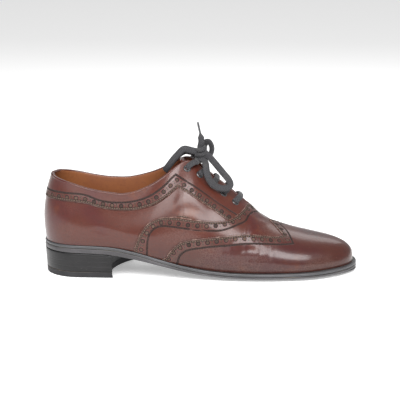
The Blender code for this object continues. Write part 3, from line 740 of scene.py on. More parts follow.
def calf(recipe, bend=0.0):
    """Base colour, roughness and height of the leather before any work on it."""
    place = recipe.place()
    patch = recipe.noise(17.0, 2.0, 0.5, place)
    other = recipe.noise(31.0, 3.0, 0.6, place)
    fine = recipe.noise(420.0, 3.0, 0.6, place)
    colour = recipe.mix(patch.step(0.50, 0.66), BROWN, BURGUNDY)
    colour = recipe.mix(other.step(0.56, 0.72) * 0.8, colour, ORANGE)
    colour = recipe.mix(fine.step(0.40, 0.85) * 0.25, colour, DARK_TONE_AND_SHADE)
    pores = recipe.cells(1500.0, place)
    net = recipe.cells(430.0, place)
    worn = recipe.noise(26.0, 2.0, 0.5, place, (1.0, 1.0, 1.6))
    tight = worn.step(0.45, 0.62) * (0.25 + bend)
    upright = recipe.noise(150.0, 3.0, 0.6, place, (1.0, 1.0, 0.35))
    height = (pores * 0.035) + fine * 0.03 + (net.step(0.0, 0.18) * 0.05) * tight \
        + recipe.noise(70.0, 3.0, 0.6, place) * 0.10 + upright * (bend * 0.45)
    # Painted shade: the leather is darker towards the bottom, near the welt.
    low = 1 - recipe.node("ShaderNodeSeparateXYZ", {}, (place,), 2).step(0.012, 0.050)
    colour = recipe.mix(low * 0.38, colour, DARK_TONE_AND_SHADE)
    # Where the leather bends, the edges of the fine net turn pale: partly worn crackle, partly
    # painted glints.
    colour = recipe.mix((1 - net.step(0.0, 0.12)) * tight * 0.16, colour, WEAR_AND_GLINT)
    rough = 0.20 + fine * 0.10 + recipe.noise(55.0, 3.0, 0.6, place) * 0.14 + tight * 0.12
    # Pale specks, strongest on the ball: partly scuffs, partly painted glints.
    scuffs_and_glints = recipe.noise(330.0, 4.0, 0.7, place).step(0.66, 0.72) * (0.05 + bend)
    colour = recipe.mix(scuffs_and_glints * 0.4, colour, WEAR_AND_GLINT)
    return colour, rough, height


def punches(recipe, label, pitch, radius, small):
    """Masks of the large holes and of the pairs of pinholes between them."""
    run, off = recipe.field(label + "_run"), recipe.field(label + "_off")
    part = (run / pitch).math("FRACT")
    along = (part - 0.5) * pitch
    large = (along * along + off * off).math("SQRT")
    half = (part + 0.5).math("FRACT")
    beside = (half - 0.5) * pitch
    aside = off - 1.15
    pin = (beside * beside + aside * aside).math("SQRT")
    return large, large.within(radius - 0.2, 0.3), pin.within(small - 0.2, 0.3)


def stitches(off, run, at, pitch=2.3, wide=0.56):
    """Mask of a row of stitches at a distance from a line, and of the groove they lie in."""
    aside = (off - at).math("ABSOLUTE")
    part = ((run / pitch).math("FRACT") - 0.5).math("ABSOLUTE")
    thread = aside.within(wide * 0.6, wide * 0.5) * part.within(0.33, 0.10)
    return thread, aside.within(wide, wide * 1.2)


def brogue_leather(name, edges=(), holes=(), inners=(), bend=0.0, dots=False):
    """Calf with band work along its lines. The labels are those of the measured fields."""
    recipe = Recipe(name, 0.35, coat=COAT, coat_roughness=0.16, specular=0.35)
    colour, rough, height = calf(recipe, bend)
    bands = None
    for edge, inner in zip(edges, inners):
        near = recipe.field(edge + "_off").within(7.2, 1.2)
        bands = near if bands is None else bands.math("MAXIMUM", near)
    if bands is not None:
        dusty = recipe.noise(300.0, 3.0, 0.6)
        colour = recipe.mix(bands * (0.10 + dusty * 0.5), colour, DULL)
        rough = rough + bands * 0.05
        height = height + dusty * bands * 0.10
    shine = COAT
    for label in holes:
        large, hole, pin = punches(recipe, label, 8.7, 2.20, 0.55)
        rim = large.within(2.80, 0.3) * (1 - hole)
        wax = recipe.noise(60.0, 2.0, 0.5).step(0.42, 0.60)
        wax_and_shade = recipe.mix(wax, srgb("33241d"), srgb("554035"))
        # The dark ring round the hole's floor is painted shade; the floor itself shows old wax.
        wax_and_shade = recipe.mix(large.within(1.25, 0.5), srgb("1b1312"), wax_and_shade)
        colour = recipe.mix(rim * 0.7, colour, srgb("5a2422"))
        # Painted shade darkens the pinholes.
        colour = recipe.mix(pin, colour, srgb("33291f"))
        colour = recipe.mix(hole, colour, wax_and_shade)
        height = height - hole * 0.75 - pin * 0.5 + rim * 0.10
        rough = rough + hole * 0.35
        shine = (1 - hole) * shine
    for label, at, groove_shade, pale, tone, deep, proud in (
            *((edge, 1.7, 1.0, 0.60, "7a6456", 0.28, 0.26) for edge in edges),
            *((inner, 0.0, 0.95, 0.35, "4a3a34", 0.34, 0.18) for inner in inners)):
        off = recipe.field(label + "_off")
        thread, groove = stitches(off, recipe.field(label + "_run"), at)
        # Painted shade darkens each stitch groove.
        colour = recipe.mix(groove * groove_shade, colour, DARK_TONE_AND_SHADE)
        colour = recipe.mix(thread * pale, colour, srgb(tone))
        height = height - groove * deep + thread * proud
        rough = rough + groove * 0.4
        shine = (1 - groove) * shine
        if label in edges:
            # A pale lip along each pinked edge: partly wear, partly a painted glint.
            lip = off.within(0.30, 0.4) * recipe.noise(200.0).step(0.45, 0.65)
            colour = recipe.mix(lip * 0.6, colour, WEAR_AND_GLINT)
    if dots:
        medallion = toe_dots(recipe)
        # Painted shade darkens the punched dots of the medallion.
        colour = recipe.mix(medallion, colour, srgb("3a302b"))
        height = height - medallion * 0.5
    return recipe.finish(colour, rough.clipped(), height, shine)


# %% [markdown]
# The medallion is a small wheel of punched dots on top of the toe. Its places are a
# radius and an angle from one centre: folding the angle into equal sectors repeats one
# dot all round, so three rings cost three distances.

# %% Medallion on the toe
MEDALLION = (0.870, 0.0030)      # share of LENGTH, and across in metres
MEDALLION_RINGS = [
    # dots, radius of the ring and of a dot in mm, turn in dots
    (8, 4.6, 0.75, 0.0), (8, 8.0, 1.05, 0.5), (16, 11.4, 0.6, 0.25),
]


def toe_dots(recipe):
    place = recipe.node("ShaderNodeSeparateXYZ", {}, (recipe.place(),), 0)
    split = place.socket.node
    x = (Field(recipe, split.outputs[0]) - (MEDALLION[0] * LENGTH + SHIFT[0])) * 1000
    y = (Field(recipe, split.outputs[1]) - (MEDALLION[1] + SHIFT[1])) * 1000
    radius = (x * x + y * y).math("SQRT")
    turn = y.math("ARCTAN2", x)
    found = radius.within(1.1, 0.3)
    for count, ring, size, start in MEDALLION_RINGS:
        sector = 2 * math.pi / count
        part = ((turn / sector + start + 32).math("FRACT") - 0.5) * sector
        dx = radius * part.math("COSINE") - ring
        dy = radius * part.math("SINE")
        found = found.math("MAXIMUM", (dx * dx + dy * dy).math("SQRT").within(size, 0.3))
    top = (Field(recipe, split.outputs[2]) - 0.024).step(0.0, 0.002)
    return found * top


BAND_WORK = (("edge",), ("holes",), ("inner",))
leather_quarter = brogue_leather("leather_quarter", bend=0.05)
leather_band = brogue_leather("leather_band", *BAND_WORK)
leather_vamp = brogue_leather("leather_vamp", *BAND_WORK, bend=0.35)
leather_wing = brogue_leather("leather_wing", *BAND_WORK, bend=0.55, dots=True)
print("leathers:", 4)

# %% [markdown]
# The body of the upper is one closed shell: the quarters outside, the lining inside, and
# a folded edge round the collar and down both facings. It is made as two halves, each a
# grid that runs up the outside, over the edge and down the lining. The halves meet along
# the back, the toe and the ridge, where their doubles are merged.

# %% Upper shell
TOP_SHARE, RIM_SHARE = 0.60, 0.66       # of the rows: where the edge folds, and has folded
LINING_SHARE = 0.635                    # and where the lining's leather begins


def shell_half(side):
    def place(u, v):
        girth = u * GIRTH
        up = np.clip(v / TOP_SHARE, 0.0, 1.0)
        down = np.clip((v - RIM_SHARE) / (1 - RIM_SHARE), 0.0, 1.0)
        turn = np.clip((v - TOP_SHARE) / (RIM_SHARE - TOP_SHARE), 0.0, 1.0) * math.pi
        outside = v < TOP_SHARE
        height = np.where(outside, up, np.where(v > RIM_SHARE, 1 - down, 1.0))
        folded = WALL / 2 * (np.cos(turn) - 1)
        lift = np.where(outside, 0.0, np.where(v > RIM_SHARE, -WALL, folded))
        points = skin(girth, side, height, lift)
        rim = (1 - np.clip((station_of(girth) - THROAT + 0.01) / 0.01, 0.0, 1.0)) * WALL * 0.45
        points[:, 2] += np.where((v >= TOP_SHARE) & (v <= RIM_SHARE), np.sin(turn) * rim, 0.0)
        return points

    piece = shaped_grid("half", 300, 100, place)
    if side > 0:
        edit(piece, bpy.ops.mesh.flip_normals)
    return piece


def lining_leather():
    recipe = Recipe("lining_leather", 0.5, coat=0.05)
    place = recipe.place()
    fine = recipe.noise(380.0, 3.0, 0.6, place)
    soft = recipe.noise(22.0, 3.0, 0.55, place)
    colour = recipe.mix(soft.step(0.35, 0.70), srgb("8a5430"), srgb("74412a"))
    colour = recipe.mix(fine.step(0.45, 0.8) * 0.3, colour, srgb("5a3020"))
    height = recipe.cells(1100.0, place) * 0.04 + fine * 0.05 + soft * 0.15
    return recipe.finish(colour, 0.42 + fine * 0.2, height)


lining = lining_leather()
upper = joined("upper_shell", [shell_half(-1), shell_half(1)])
finish_piece(upper, leather_quarter, "leather", "upper")
upper.data.materials.append(lining)
inside = np.zeros(len(upper.data.polygons), dtype=np.int32)
uv_layer = upper.data.uv_layers.active.data
first_loop = np.empty(len(upper.data.polygons), dtype=np.int32)
upper.data.polygons.foreach_get("loop_start", first_loop)
spots = np.empty(len(uv_layer) * 2)
uv_layer.foreach_get("uv", spots)
inside[spots.reshape(-1, 2)[first_loop, 1] > LINING_SHARE] = 1
upper.data.polygons.foreach_set("material_index", inside)

# %% [markdown]
# A leather panel that lies on another shows its own thickness and its pinked edge, small
# teeth cut with a wheel. A panel is a grid between two lines: the seam, sampled evenly so
# that every tooth is the same, and a far line that lies hidden or at the feather edge.
# Its first rows stand up from the leather below, and the rest runs at its own height.

# %% Panels
TOOTH, TOOTH_DEEP = 0.0024, 0.0009
TOOTH_SHARE = np.array((1.0, 1.0, 0.75, 0.0))           # of a tooth, in the edge's first rows
BEVEL = np.array((0.00005, 0.0, -0.0003, 0.0))          # and how far out they lie


def panel(name, side, seams, far, lift, columns, rows, teeth=True):
    """A panel from its seam, a list of named lines, to the far line's points."""
    parts = [even_line(line, side, 0.0006) for line in seams]
    girth = np.concatenate([part[0] for part in parts])
    height = np.concatenate([part[1] for part in parts])
    run = run_along(bare_point(girth, side, height))
    far_girth = girth_of(np.array(far)[:, 0])
    far_height = np.array(far)[:, 1]
    far_way = run_along(np.stack((far_girth, far_height * 0.3), -1))
    far_way /= far_way[-1]

    def spot(u, v):
        along = u * run[-1]
        g, h = np.interp(along, run, girth), np.interp(along, run, height)
        far_g, far_h = np.interp(u, far_way, far_girth), np.interp(u, far_way, far_height)
        return g + (far_g - g) * v, h + (far_h - h) * v

    def bare(u, v):
        g, h = spot(u, v)
        return bare_point(g, side, h)

    def surface(u, v):
        row = np.clip(np.rint(v * rows).astype(int), 0, 3)
        deep = np.clip((v * rows - 2) / (rows - 2), 0.0, 1.0) ** 1.35
        g, h = spot(u, deep)
        points = skin(g, side, h, np.array((-0.0001, lift * 0.72, lift, lift))[row])
        tangent = bare(np.clip(u + 0.002, 0, 1), deep) - bare(np.clip(u - 0.002, 0, 1), deep)
        tangent /= np.maximum(np.linalg.norm(tangent, axis=-1, keepdims=True), 1e-9)
        outward = np.cross(tangent, last_normal(g, side, h)) * -side
        inward = bare(u, np.clip(deep + 0.03, 0, 1)) - bare_point(g, side, h)
        sign = np.where((outward * inward).sum(-1) > 0, -1.0, 1.0)[:, None]
        saw = np.abs(((u * run[-1] / TOOTH) % 1.0) - 0.5) * 2 if teeth else 0.0 * u
        ends = np.clip(np.minimum(u, 1 - u) * run[-1] / 0.002, 0.0, 1.0)
        push = TOOTH_SHARE[row] * saw * TOOTH_DEEP * ends
        return points + outward * sign * (push + BEVEL[row])[:, None]

    piece = shaped_grid(name, columns, rows, surface)
    check_outward(piece)
    return piece


def measured_panel(name, side, first, second, far, lift, columns, rows, teeth=True):
    """A panel, measured from its edge, its holes and its inner line, each of two stretches."""
    seams = (first + "_edge", second + "_edge")
    piece = panel(name, side, seams, far, lift, columns, rows, teeth)
    for label in ("edge", "holes", "inner"):
        measure(piece, side, lift, label, first + "_" + label, second + "_" + label)
    return piece


# %% [markdown]
# The collar band follows the opening from the back seam to the front corner and turns
# down beside the eyelets as the facing, in one piece with a sharp corner. It covers the
# top edge too, so its far line is that edge.

# %% Collar band and facings
COLLAR_LIFT = 0.0009
TOP_EDGE = [(station, 1.0) for station in (0.0, 0.12, 0.25, 0.36, 0.44, 0.54, 0.664)]
for side, word in SIDES:
    band = measured_panel("collar_band_" + word, side, "collar", "facing", TOP_EDGE,
                          COLLAR_LIFT, 560, 22, teeth=False)
    finish_piece(band, leather_band, "leather")

# %% [markdown]
# The vamp comes next. Its pinked edge rises from the welt at the waist, runs forward and
# climbs to the foot of the lacing. Its far line is tucked below the wing.

# %% Vamp
VAMP_LIFT = 0.0013
UNDER_WING = [(0.400, 0.0), (0.425, 0.10), (0.455, 0.17), (0.50, 0.22), (0.57, 0.31),
              (0.64, 0.40), (0.71, 0.49), (0.765, 0.60), (0.79, 0.72), (0.775, 0.86),
              (0.755, 1.0)]
for side, word in SIDES:
    vamp = measured_panel("vamp_" + word, side, "vamp", "rise", UNDER_WING, VAMP_LIFT, 520, 26)
    finish_piece(vamp, leather_vamp, "leather")

# %% [markdown]
# The wing is the last panel: a toe cap that comes to a peak on the ridge and runs back
# in two long wings. The two sides are welded along the ridge and round the nose.

# %% Wing
WING_LIFT = 0.0021
FEATHER_EDGE = [(0.379, 0.0), (0.55, 0.0), (0.72, 0.0), (0.86, 0.0), (0.95, 0.0), (1.0, 0.0),
                (1.0, 0.5), (1.0, 1.0)]
wing = joined("wing", [
    measured_panel("wing_" + word, side, "wing", "peak", FEATHER_EDGE, WING_LIFT, 620, 60)
    for side, word in SIDES])
finish_piece(wing, leather_wing, "leather")

# %% [markdown]
# The raw top edge of a dress shoe is folded over a cord, which leaves a narrow round
# roll. Here it is a thin tube that follows the top edge on both sides, from the back
# seam to the foot of the lacing. The tube's frame is carried along its own route, so it
# never twists, and the same function makes every lace further down.

# %% Tubes along a route
def curve_through(points, count, calm=12):
    """A smooth curve through points, sampled evenly and calmed a little, with its length."""
    points = np.asarray(points, float)
    line = np.concatenate(((2 * points[0] - points[1],), points, (2 * points[-1] - points[-2],)))
    t = np.linspace(0.0, len(points) - 1, 40 * len(points))
    k = np.minimum(t.astype(int), len(points) - 2)
    fine = between(line, k, (t - k)[:, None])
    run = run_along(fine)
    even = np.linspace(0.0, run[-1], count)
    path = np.stack([np.interp(even, run, fine[:, axis]) for axis in range(3)], -1)
    for _ in range(calm):
        path[1:-1] = path[1:-1] * 0.5 + (path[:-2] + path[2:]) * 0.25
    return path, np.linalg.norm(np.diff(path, axis=0), axis=1).sum()


def carried(centre, thin):
    """The direction of the thin side at each point, carried along without twist."""
    ahead = np.gradient(centre, axis=0)
    ahead /= np.linalg.norm(ahead, axis=1, keepdims=True)
    out = np.empty_like(centre)
    thin = np.asarray(thin, float)
    for k, way in enumerate(ahead):
        thin = thin - way * thin.dot(way)
        thin /= np.linalg.norm(thin)
        out[k] = thin
    return ahead, out


def strand(name, route, wide, thick, thin, columns=160, rows=20, size=None):
    """A closed lace or roll along a route in metres. size(run) scales it along the way."""
    centre, length = curve_through(route, columns + 1)
    ahead, up = carried(centre, thin)
    beside = np.cross(ahead, up)

    def place(u, v):
        k = np.rint(u * columns).astype(int)
        turn = v * 2 * math.pi
        near = np.minimum(u, 1 - u) * length / (0.5 * thick)
        full = np.sqrt(np.clip(1 - (1 - np.clip(near, 0.0, 1.0)) ** 2, 0.0, 1.0))
        if size:
            full = full * size(u * length)
        across = np.sign(np.cos(turn)) * np.abs(np.cos(turn)) ** 0.8 * wide / 2 * full
        lift = np.sin(turn) * thick / 2 * full
        return centre[k] + beside[k] * across[:, None] + up[k] * lift[:, None]

    return shaped_grid(name, columns, rows, place, True, {
        "run": lambda u, v: u * length * 1000, "turn": lambda u, v: v})


roll_leather = brogue_leather("leather_roll")
for side, word in SIDES:
    stations = np.linspace(0.0, THROAT, 40)
    girth = girth_of(stations)
    top = np.ones_like(girth)
    route = skin(girth, side, top, np.full_like(girth, -0.0004), 0.0)
    roll = strand("collar_roll_" + word, route, 0.0030, 0.0026, (0, 0, 1), 300, 16)
    finish_piece(roll, roll_leather, "leather")

# %% [markdown]
# The tongue is a soft sheet below the facings. Across, it follows the inside of both
# facings and bridges the gap between them; its free tip stands a little above them.
# Solidify gives it a thickness, and a bevel softens its cut edge.

# %% Tongue
TONGUE, TONGUE_LOW, TONGUE_HIGH, TONGUE_TIP = 0.0022, 0.685, 0.456, 0.0050
FACING_SLOPE = math.radians(38)


def tongue_place(u, v):
    body = np.clip(v / 0.90, 0.0, 1.0)
    tip = np.clip((v - 0.90) / 0.10, 0.0, 1.0)
    girth = girth_of(TONGUE_LOW + (TONGUE_HIGH - TONGUE_LOW) * body)
    low, bridge = 0.76, 0.44
    outer, inner = [skin(girth, side, low + (1 - low) * np.clip(way / bridge, 0.0, 1.0),
                         -(WALL + 3 * GAP), 0.0) for side, way in ((-1, u), (1, 1 - u))]
    over = np.clip((u - bridge) / (1 - 2 * bridge), 0.0, 1.0)[:, None]
    points = outer * (1 - over) + inner * over
    middle = points.copy()
    middle[:, 1] = SHIFT[1] + RIDGE_SHIFT * 0.3
    points = middle + (points - middle) * (1 - 0.35 * tip ** 2)[:, None]
    way = np.array((-math.cos(FACING_SLOPE), 0.0, math.sin(FACING_SLOPE)))
    return points + way * (tip * TONGUE_TIP)[:, None]


def modified(piece, kind, **settings):
    """Adds a modifier, applies it and leaves nothing selected."""
    bpy.context.view_layer.objects.active = piece
    piece.select_set(True)
    modifier = piece.modifiers.new(kind.lower(), kind)
    for label, value in settings.items():
        setattr(modifier, label, value)
    bpy.ops.object.modifier_apply(modifier=modifier.name)
    piece.select_set(False)


tongue = shaped_grid("tongue_sheet", 70, 110, tongue_place)
check_outward(tongue)
modified(tongue, "SOLIDIFY", thickness=TONGUE, offset=-1.0)
modified(tongue, "BEVEL", width=0.0006, segments=3, limit_method="ANGLE", angle_limit=0.9)
finish_piece(tongue, roll_leather, "leather", "tongue")

# %% [markdown]
# Inside, a leather sock covers the insole from heel to toe. It dips a little in the
# middle, where a foot has pressed it, and meets the lining all round.

# %% Insole sock
INSOLE = 0.0020


def sock_place(u, v):
    girth, across = u * GIRTH, 2 * v - 1
    s = station_of(girth)
    x, y = plan_point(s, across, PLAN.at("reach", s) * WELT_REACH + WALL + 2 * GAP)
    z = welt_top(x) + GAP + INSOLE + 0.0006 * across ** 2
    return np.stack((x, y, z), -1) + SHIFT


sock = shaped_grid("insole_sock", 180, 40, sock_place, True)
check_outward(sock)
modified(sock, "SOLIDIFY", thickness=0.0022, offset=-1.0)
finish_piece(sock, lining, "lining", "insole")

# %% [markdown]
# Sole, welt and heel are black. Their edges were inked and waxed on a wheel, which leaves
# long faint ripples, and walking has scuffed them, most of all below. Each is a ring of
# a few named corners that travels along the plan: how far across, how far in from the
# edge, and how high. Between corners the ring runs straight, with short steps at the
# corners that round them.

# %% Black edges
def inked(name, colour, rough, coat, lines=()):
    recipe = Recipe(name, rough, coat=coat, coat_roughness=0.25, specular=0.30)
    place = recipe.place()
    cloud = recipe.noise(40.0, 4.0, 0.6, place)
    grain = recipe.noise(500.0, 3.0, 0.6, place)
    streak = recipe.noise(60.0, 3.0, 0.6, place, (0.15, 0.15, 6.0))
    pale = tuple(c * 1.9 + 0.004 for c in colour)
    shade = recipe.mix(cloud.step(0.35, 0.75) * 0.6, colour, pale)
    shade = recipe.mix(grain.step(0.66, 0.80) * 0.35, shade, srgb("8a8580"))
    height = grain * 0.05 + streak * 0.12 + cloud * 0.10
    tall = recipe.node("ShaderNodeSeparateXYZ", {}, (place,), 2) * 1000
    for line in lines:
        seam = (tall - line).math("ABSOLUTE").within(0.10, 0.25)
        height = height - seam * 0.12
        shade = recipe.mix(seam * 0.6, shade, srgb("1c1c1d"))
    return recipe.finish(shade, rough + cloud * 0.16 - 0.05 + grain * 0.08, height)


def worn_tread():
    recipe = Recipe("worn_tread", 0.7)
    place = recipe.place()
    cloud = recipe.noise(30.0, 4.0, 0.6, place)
    scratch = recipe.noise(90.0, 3.0, 0.6, place, (0.3, 3.0, 1.0))
    shade = recipe.mix(cloud.step(0.35, 0.70), srgb("3b3835"), srgb("6a6158"))
    shade = recipe.mix(scratch.step(0.55, 0.72) * 0.5, shade, srgb("918679"))
    return recipe.finish(shade, 0.62 + scratch * 0.2, scratch * 0.15 + recipe.noise(900.0) * 0.08)


edge_black = inked("edge_black", srgb("403e40"), 0.36, 0.25)
heel_black = inked("heel_black", srgb("151415"), 0.30, 0.15, (11.0, 16.0, 21.0))
rubber_black = inked("rubber_black", srgb("262527"), 0.5, 0.0)
tread = worn_tread()

# %% Outsole
SOLE_RING = [
    # across, in from the edge in mm, share of the edge's height, lift of the bottom in mm
    (0.00, 0.0, 1.00, 0.0), (0.90, 0.0, 1.00, 0.0), (1.00, 0.8, 1.00, 0.0),
    (1.00, 0.25, 0.96, 0.0), (1.00, 0.0, 0.82, 0.0), (1.00, -0.12, 0.55, 0.0),
    (1.00, -0.05, 0.30, 0.0), (1.00, 0.20, 0.12, 0.0), (1.00, 0.9, 0.02, 0.0),
    (1.00, 2.0, 0.00, -1.0), (0.84, 0.0, 0.00, -2.6), (0.60, 0.0, 0.00, -3.4),
    (0.00, 0.0, 0.00, -3.4),
]


def along_ring(ring, v):
    """Columns of a ring's table at v, each corner the same share of the way apart."""
    ring = np.array(ring)
    corners = np.linspace(0.0, 1.0, len(ring))
    return [np.interp(v, corners, ring[:, k]) for k in range(ring.shape[1])]


def sole_place(u, v):
    s = station_of(u * GIRTH)
    side = np.where(v < 0.5, -1.0, 1.0)
    across, inset, share, lift = along_ring(SOLE_RING, 1 - np.abs(2 * v - 1))
    x, y = plan_point(s, side * across, inset / 1000)
    crown = PLAN.at("crown", x / LENGTH)
    low = underside(x) + (CROWN + 0.001) * crown
    z = low + share * (underside(x) + OUTSOLE - low) + lift / 1000 * crown
    return np.stack((x, y, z), -1) + SHIFT


def mark_faces(piece, look, chosen):
    """Gives a second material to the faces whose centre and normal are chosen."""
    piece.data.materials.append(look)
    number = len(piece.data.materials) - 1
    for polygon in piece.data.polygons:
        if chosen(polygon.center, polygon.normal):
            polygon.material_index = number


outsole = shaped_grid("outsole_leather", 360, 96, sole_place, True)
finish_piece(outsole, edge_black, "sole", "outsole")
mark_faces(outsole, tread, lambda centre, normal: normal.z < -0.8)

# %% [markdown]
# The welt is the strip that joins upper and sole: a ring right round the shoe, wide at
# the forepart and nearly hidden at the waist. A row of lockstitch runs along its top.

# %% Welt
WELT_RING = [
    # in from the edge in mm, share of the height
    (0.30, 0.00), (0.00, 0.15), (-0.12, 0.50), (0.00, 0.80), (0.25, 0.95), (0.70, 1.00),
    (3.00, 1.00), (6.00, 1.00), (8.80, 1.00), (9.00, 0.90), (9.00, 0.00), (0.30, 0.00),
]


def lap(u):
    """Station and side of a share of the way round, from the back of the heel."""
    return station_of((1 - np.abs(2 * u - 1)) * GIRTH), np.where(u < 0.5, -1.0, 1.0)


def welt_place(u, v):
    s, side = lap(u)
    inset, share = along_ring(WELT_RING, v)
    x, y = plan_point(s, side, inset / 1000)
    z = underside(x) + OUTSOLE + GAP + share * WELT
    return np.stack((x, y, z), -1) + SHIFT


def welt_leather():
    recipe = Recipe("welt_black", 0.38, coat=0.25, coat_roughness=0.25)
    place = recipe.place()
    cloud = recipe.noise(40.0, 4.0, 0.6, place)
    grain = recipe.noise(500.0, 3.0, 0.6, place)
    shade = recipe.mix(cloud.step(0.35, 0.75) * 0.6, srgb("3c3c3e"), srgb("555457"))
    thread, groove = stitches(recipe.field("inset"), recipe.field("way"), 2.6, 3.2, 0.5)
    # Painted shade darkens the groove the stitches lie in.
    shade = recipe.mix(groove * 0.5, shade, srgb("232323"))
    shade = recipe.mix(thread * 0.7, shade, srgb("6a6663"))
    height = grain * 0.05 + cloud * 0.1 - groove * 0.25 + thread * 0.45
    return recipe.finish(shade, 0.34 + cloud * 0.14 + grain * 0.08, height)


welt = shaped_grid("welt_strip", 720, 33, welt_place, True, {
    "inset": lambda u, v: along_ring(WELT_RING, v)[0],
    "way": lambda u, v: u * 2 * GIRTH * LENGTH * 1000})
finish_piece(welt, welt_leather(), "sole", "welt")

# %% [markdown]
# The heel is a stack of leather lifts, pressed, trimmed and polished to one block, on a
# rubber top piece. Its breast is hollow in plan. A grid runs from the back to the breast,
# and its last columns close the breast towards a line at half height.

# %% Heel
BREAST, BREAST_SWING, BREAST_HOLLOW = 0.0675, 0.0140, 0.0060
HEEL_RING = [
    # across, share of the height, in from the edge in mm
    (0.00, 0.00, 0.0), (-0.90, 0.00, 0.0), (-1.00, 0.00, 0.5), (-1.00, 0.02, 0.15),
    (-1.00, 0.06, 0.0), (-1.00, 0.50, 0.10), (-1.00, 0.94, 0.0), (-1.00, 0.98, 0.12),
    (-1.00, 1.00, 0.35), (-0.90, 1.00, 0.0), (0.00, 1.00, 0.0),
]


def heel_block(name, low, high, inset_low, inset_high, look, slot, node):
    def place(u, v):
        across, share, inset = along_ring(HEEL_RING, 1 - np.abs(2 * v - 1))
        across = across * np.where(v < 0.5, 1.0, -1.0)
        row = np.sin(np.clip(u / 0.94, 0.0, 1.0) * math.pi / 2) ** 2
        closing = 1 - np.clip((u - 0.94) / 0.06, 0.0, 1.0)
        share = 0.5 + (share - 0.5) * closing
        swing = BREAST_SWING * ((across + 1) / 2) ** 2
        x = row * (BREAST + swing - BREAST_HOLLOW * (1 - across ** 2))
        taper = inset_low + (inset_high - inset_low) * share + inset / 1000
        x, y = plan_point(x / LENGTH, across, taper)
        z = low(x) + (high(x) - low(x)) * share
        return np.stack((x, y, z), -1) + SHIFT

    piece = shaped_grid(name, 220, 80, place, True)
    finish_piece(piece, look, slot, node)
    return piece


heel_block("heel_lifts", lambda x: TOP_PIECE + GAP + 0 * x, lambda x: underside(x) - GAP,
           HEEL_TAPER * 0.8, 0.0, heel_black, "heel", "heel_stack")
top_piece = heel_block("heel_rubber", lambda x: 0 * x, lambda x: TOP_PIECE + 0 * x,
                       HEEL_TAPER, HEEL_TAPER * 0.8, rubber_black, "top_piece", "heel_top_piece")
mark_faces(top_piece, tread, lambda centre, normal: normal.z < -0.9)

# %% [markdown]
# The eyelets are rings of black enamelled brass, pressed through facing and lining. Each
# is a turned profile set on the last's own normal.

# %% Eyelets
EYELET_PAIRS, EYELET_PITCH, FIRST_EYELET = 5, 0.0148, 0.462
EYELET_EDGE_TOP, EYELET_EDGE_LOW = 0.0082, 0.0118
EYELET_PROFILE = [
    # radius and height over the last, in mm
    (1.80, -2.0), (1.80, 0.95), (1.92, 1.35), (2.30, 1.68), (2.85, 1.74), (3.35, 1.52),
    (3.66, 1.18), (3.70, 0.92), (2.45, 0.90), (2.40, -2.0), (1.80, -2.0),
]


def enamel():
    recipe = Recipe("eyelet_enamel", 0.22, coat=0.6, coat_roughness=0.1, specular=0.6)
    chips_and_glints = recipe.noise(420.0, 3.0, 0.6)
    # Pale flecks in the black enamel: partly chips, partly painted glints.
    shade = recipe.mix(chips_and_glints.step(0.62, 0.70), srgb("242426"), srgb("7b7468"))
    return recipe.finish(shade, 0.2 + chips_and_glints * 0.15, chips_and_glints * 0.05)


def on_last(station, side, height, lift):
    """One point a lift above the last."""
    girth = girth_of(np.array([station]))
    return skin(girth, side, np.array([height]), np.array([lift]), 0.0)[0]


def eyelet_spots():
    spots = []
    for pair in range(EYELET_PAIRS):
        station = FIRST_EYELET + pair * EYELET_PITCH * math.cos(FACING_SLOPE) / LENGTH
        edge = EYELET_EDGE_TOP + (EYELET_EDGE_LOW - EYELET_EDGE_TOP) * pair / (EYELET_PAIRS - 1)
        for side in (-1, 1):
            steps = np.linspace(1.0, 0.4, 400)
            girth = np.full_like(steps, girth_of(station))
            run = run_along(bare_point(girth, side, steps))
            spots.append((pair + 1, station, side, float(np.interp(edge, run, steps))))
    return spots


def eyelet_ring(name, station, side, height):
    centre = on_last(station, side, height, 0.0)
    out = on_last(station, side, height, 0.01) - centre
    out /= np.linalg.norm(out)
    first = np.cross(out, (0.0, 0.0, 1.0))
    first /= np.linalg.norm(first)
    second = np.cross(out, first)

    def place(u, v):
        radius, tall = along_ring(EYELET_PROFILE, v)
        turn = u * 2 * math.pi
        flat = first * np.cos(turn)[:, None] + second * np.sin(turn)[:, None]
        return centre + (flat * radius[:, None] + out * tall[:, None]) / 1000

    return shaped_grid(name, 40, 40, place, True)


eyelet_look = enamel()
for number, station, side, height in eyelet_spots():
    spot_name = "%s_%d" % (dict(SIDES)[side], number)
    ring = eyelet_ring("ring_" + spot_name, station, side, height)
    finish_piece(ring, eyelet_look, "enamel", "eyelet_" + spot_name)

# %% [markdown]
# The lace is a flat waxed braid. One length crosses from eyelet to eyelet: it comes up
# through a hole, lies over both facings and dives into the hole across. Slack from wear,
# each bar bows a little towards the toe. The braid is two crossing sets of slanted ribs,
# read from how far along and how far round the strand a point lies, with painted shade
# darkening the gaps between them.

# %% Lace bars
LACE_WIDE, LACE_THICK = 0.0058, 0.0024
LOOP_WIDE = LACE_WIDE * 1.12               # a slack loop lies a little wider
BAR_PULL = (1.8, 1.15, 1.0, 1.0, 1.0)      # the knot draws the top bars up and forward
BAR_ROUTE = [
    # station from the eyelet, share of the way to the edge, lift in metres, drawn or not
    (0.0, 0.0, -0.0022, False), (0.0, 0.02, 0.0006, False), (0.002, 0.16, 0.0029, False),
    (0.007, 0.50, 0.0034, True), (0.012, 0.86, 0.0030, True),
]


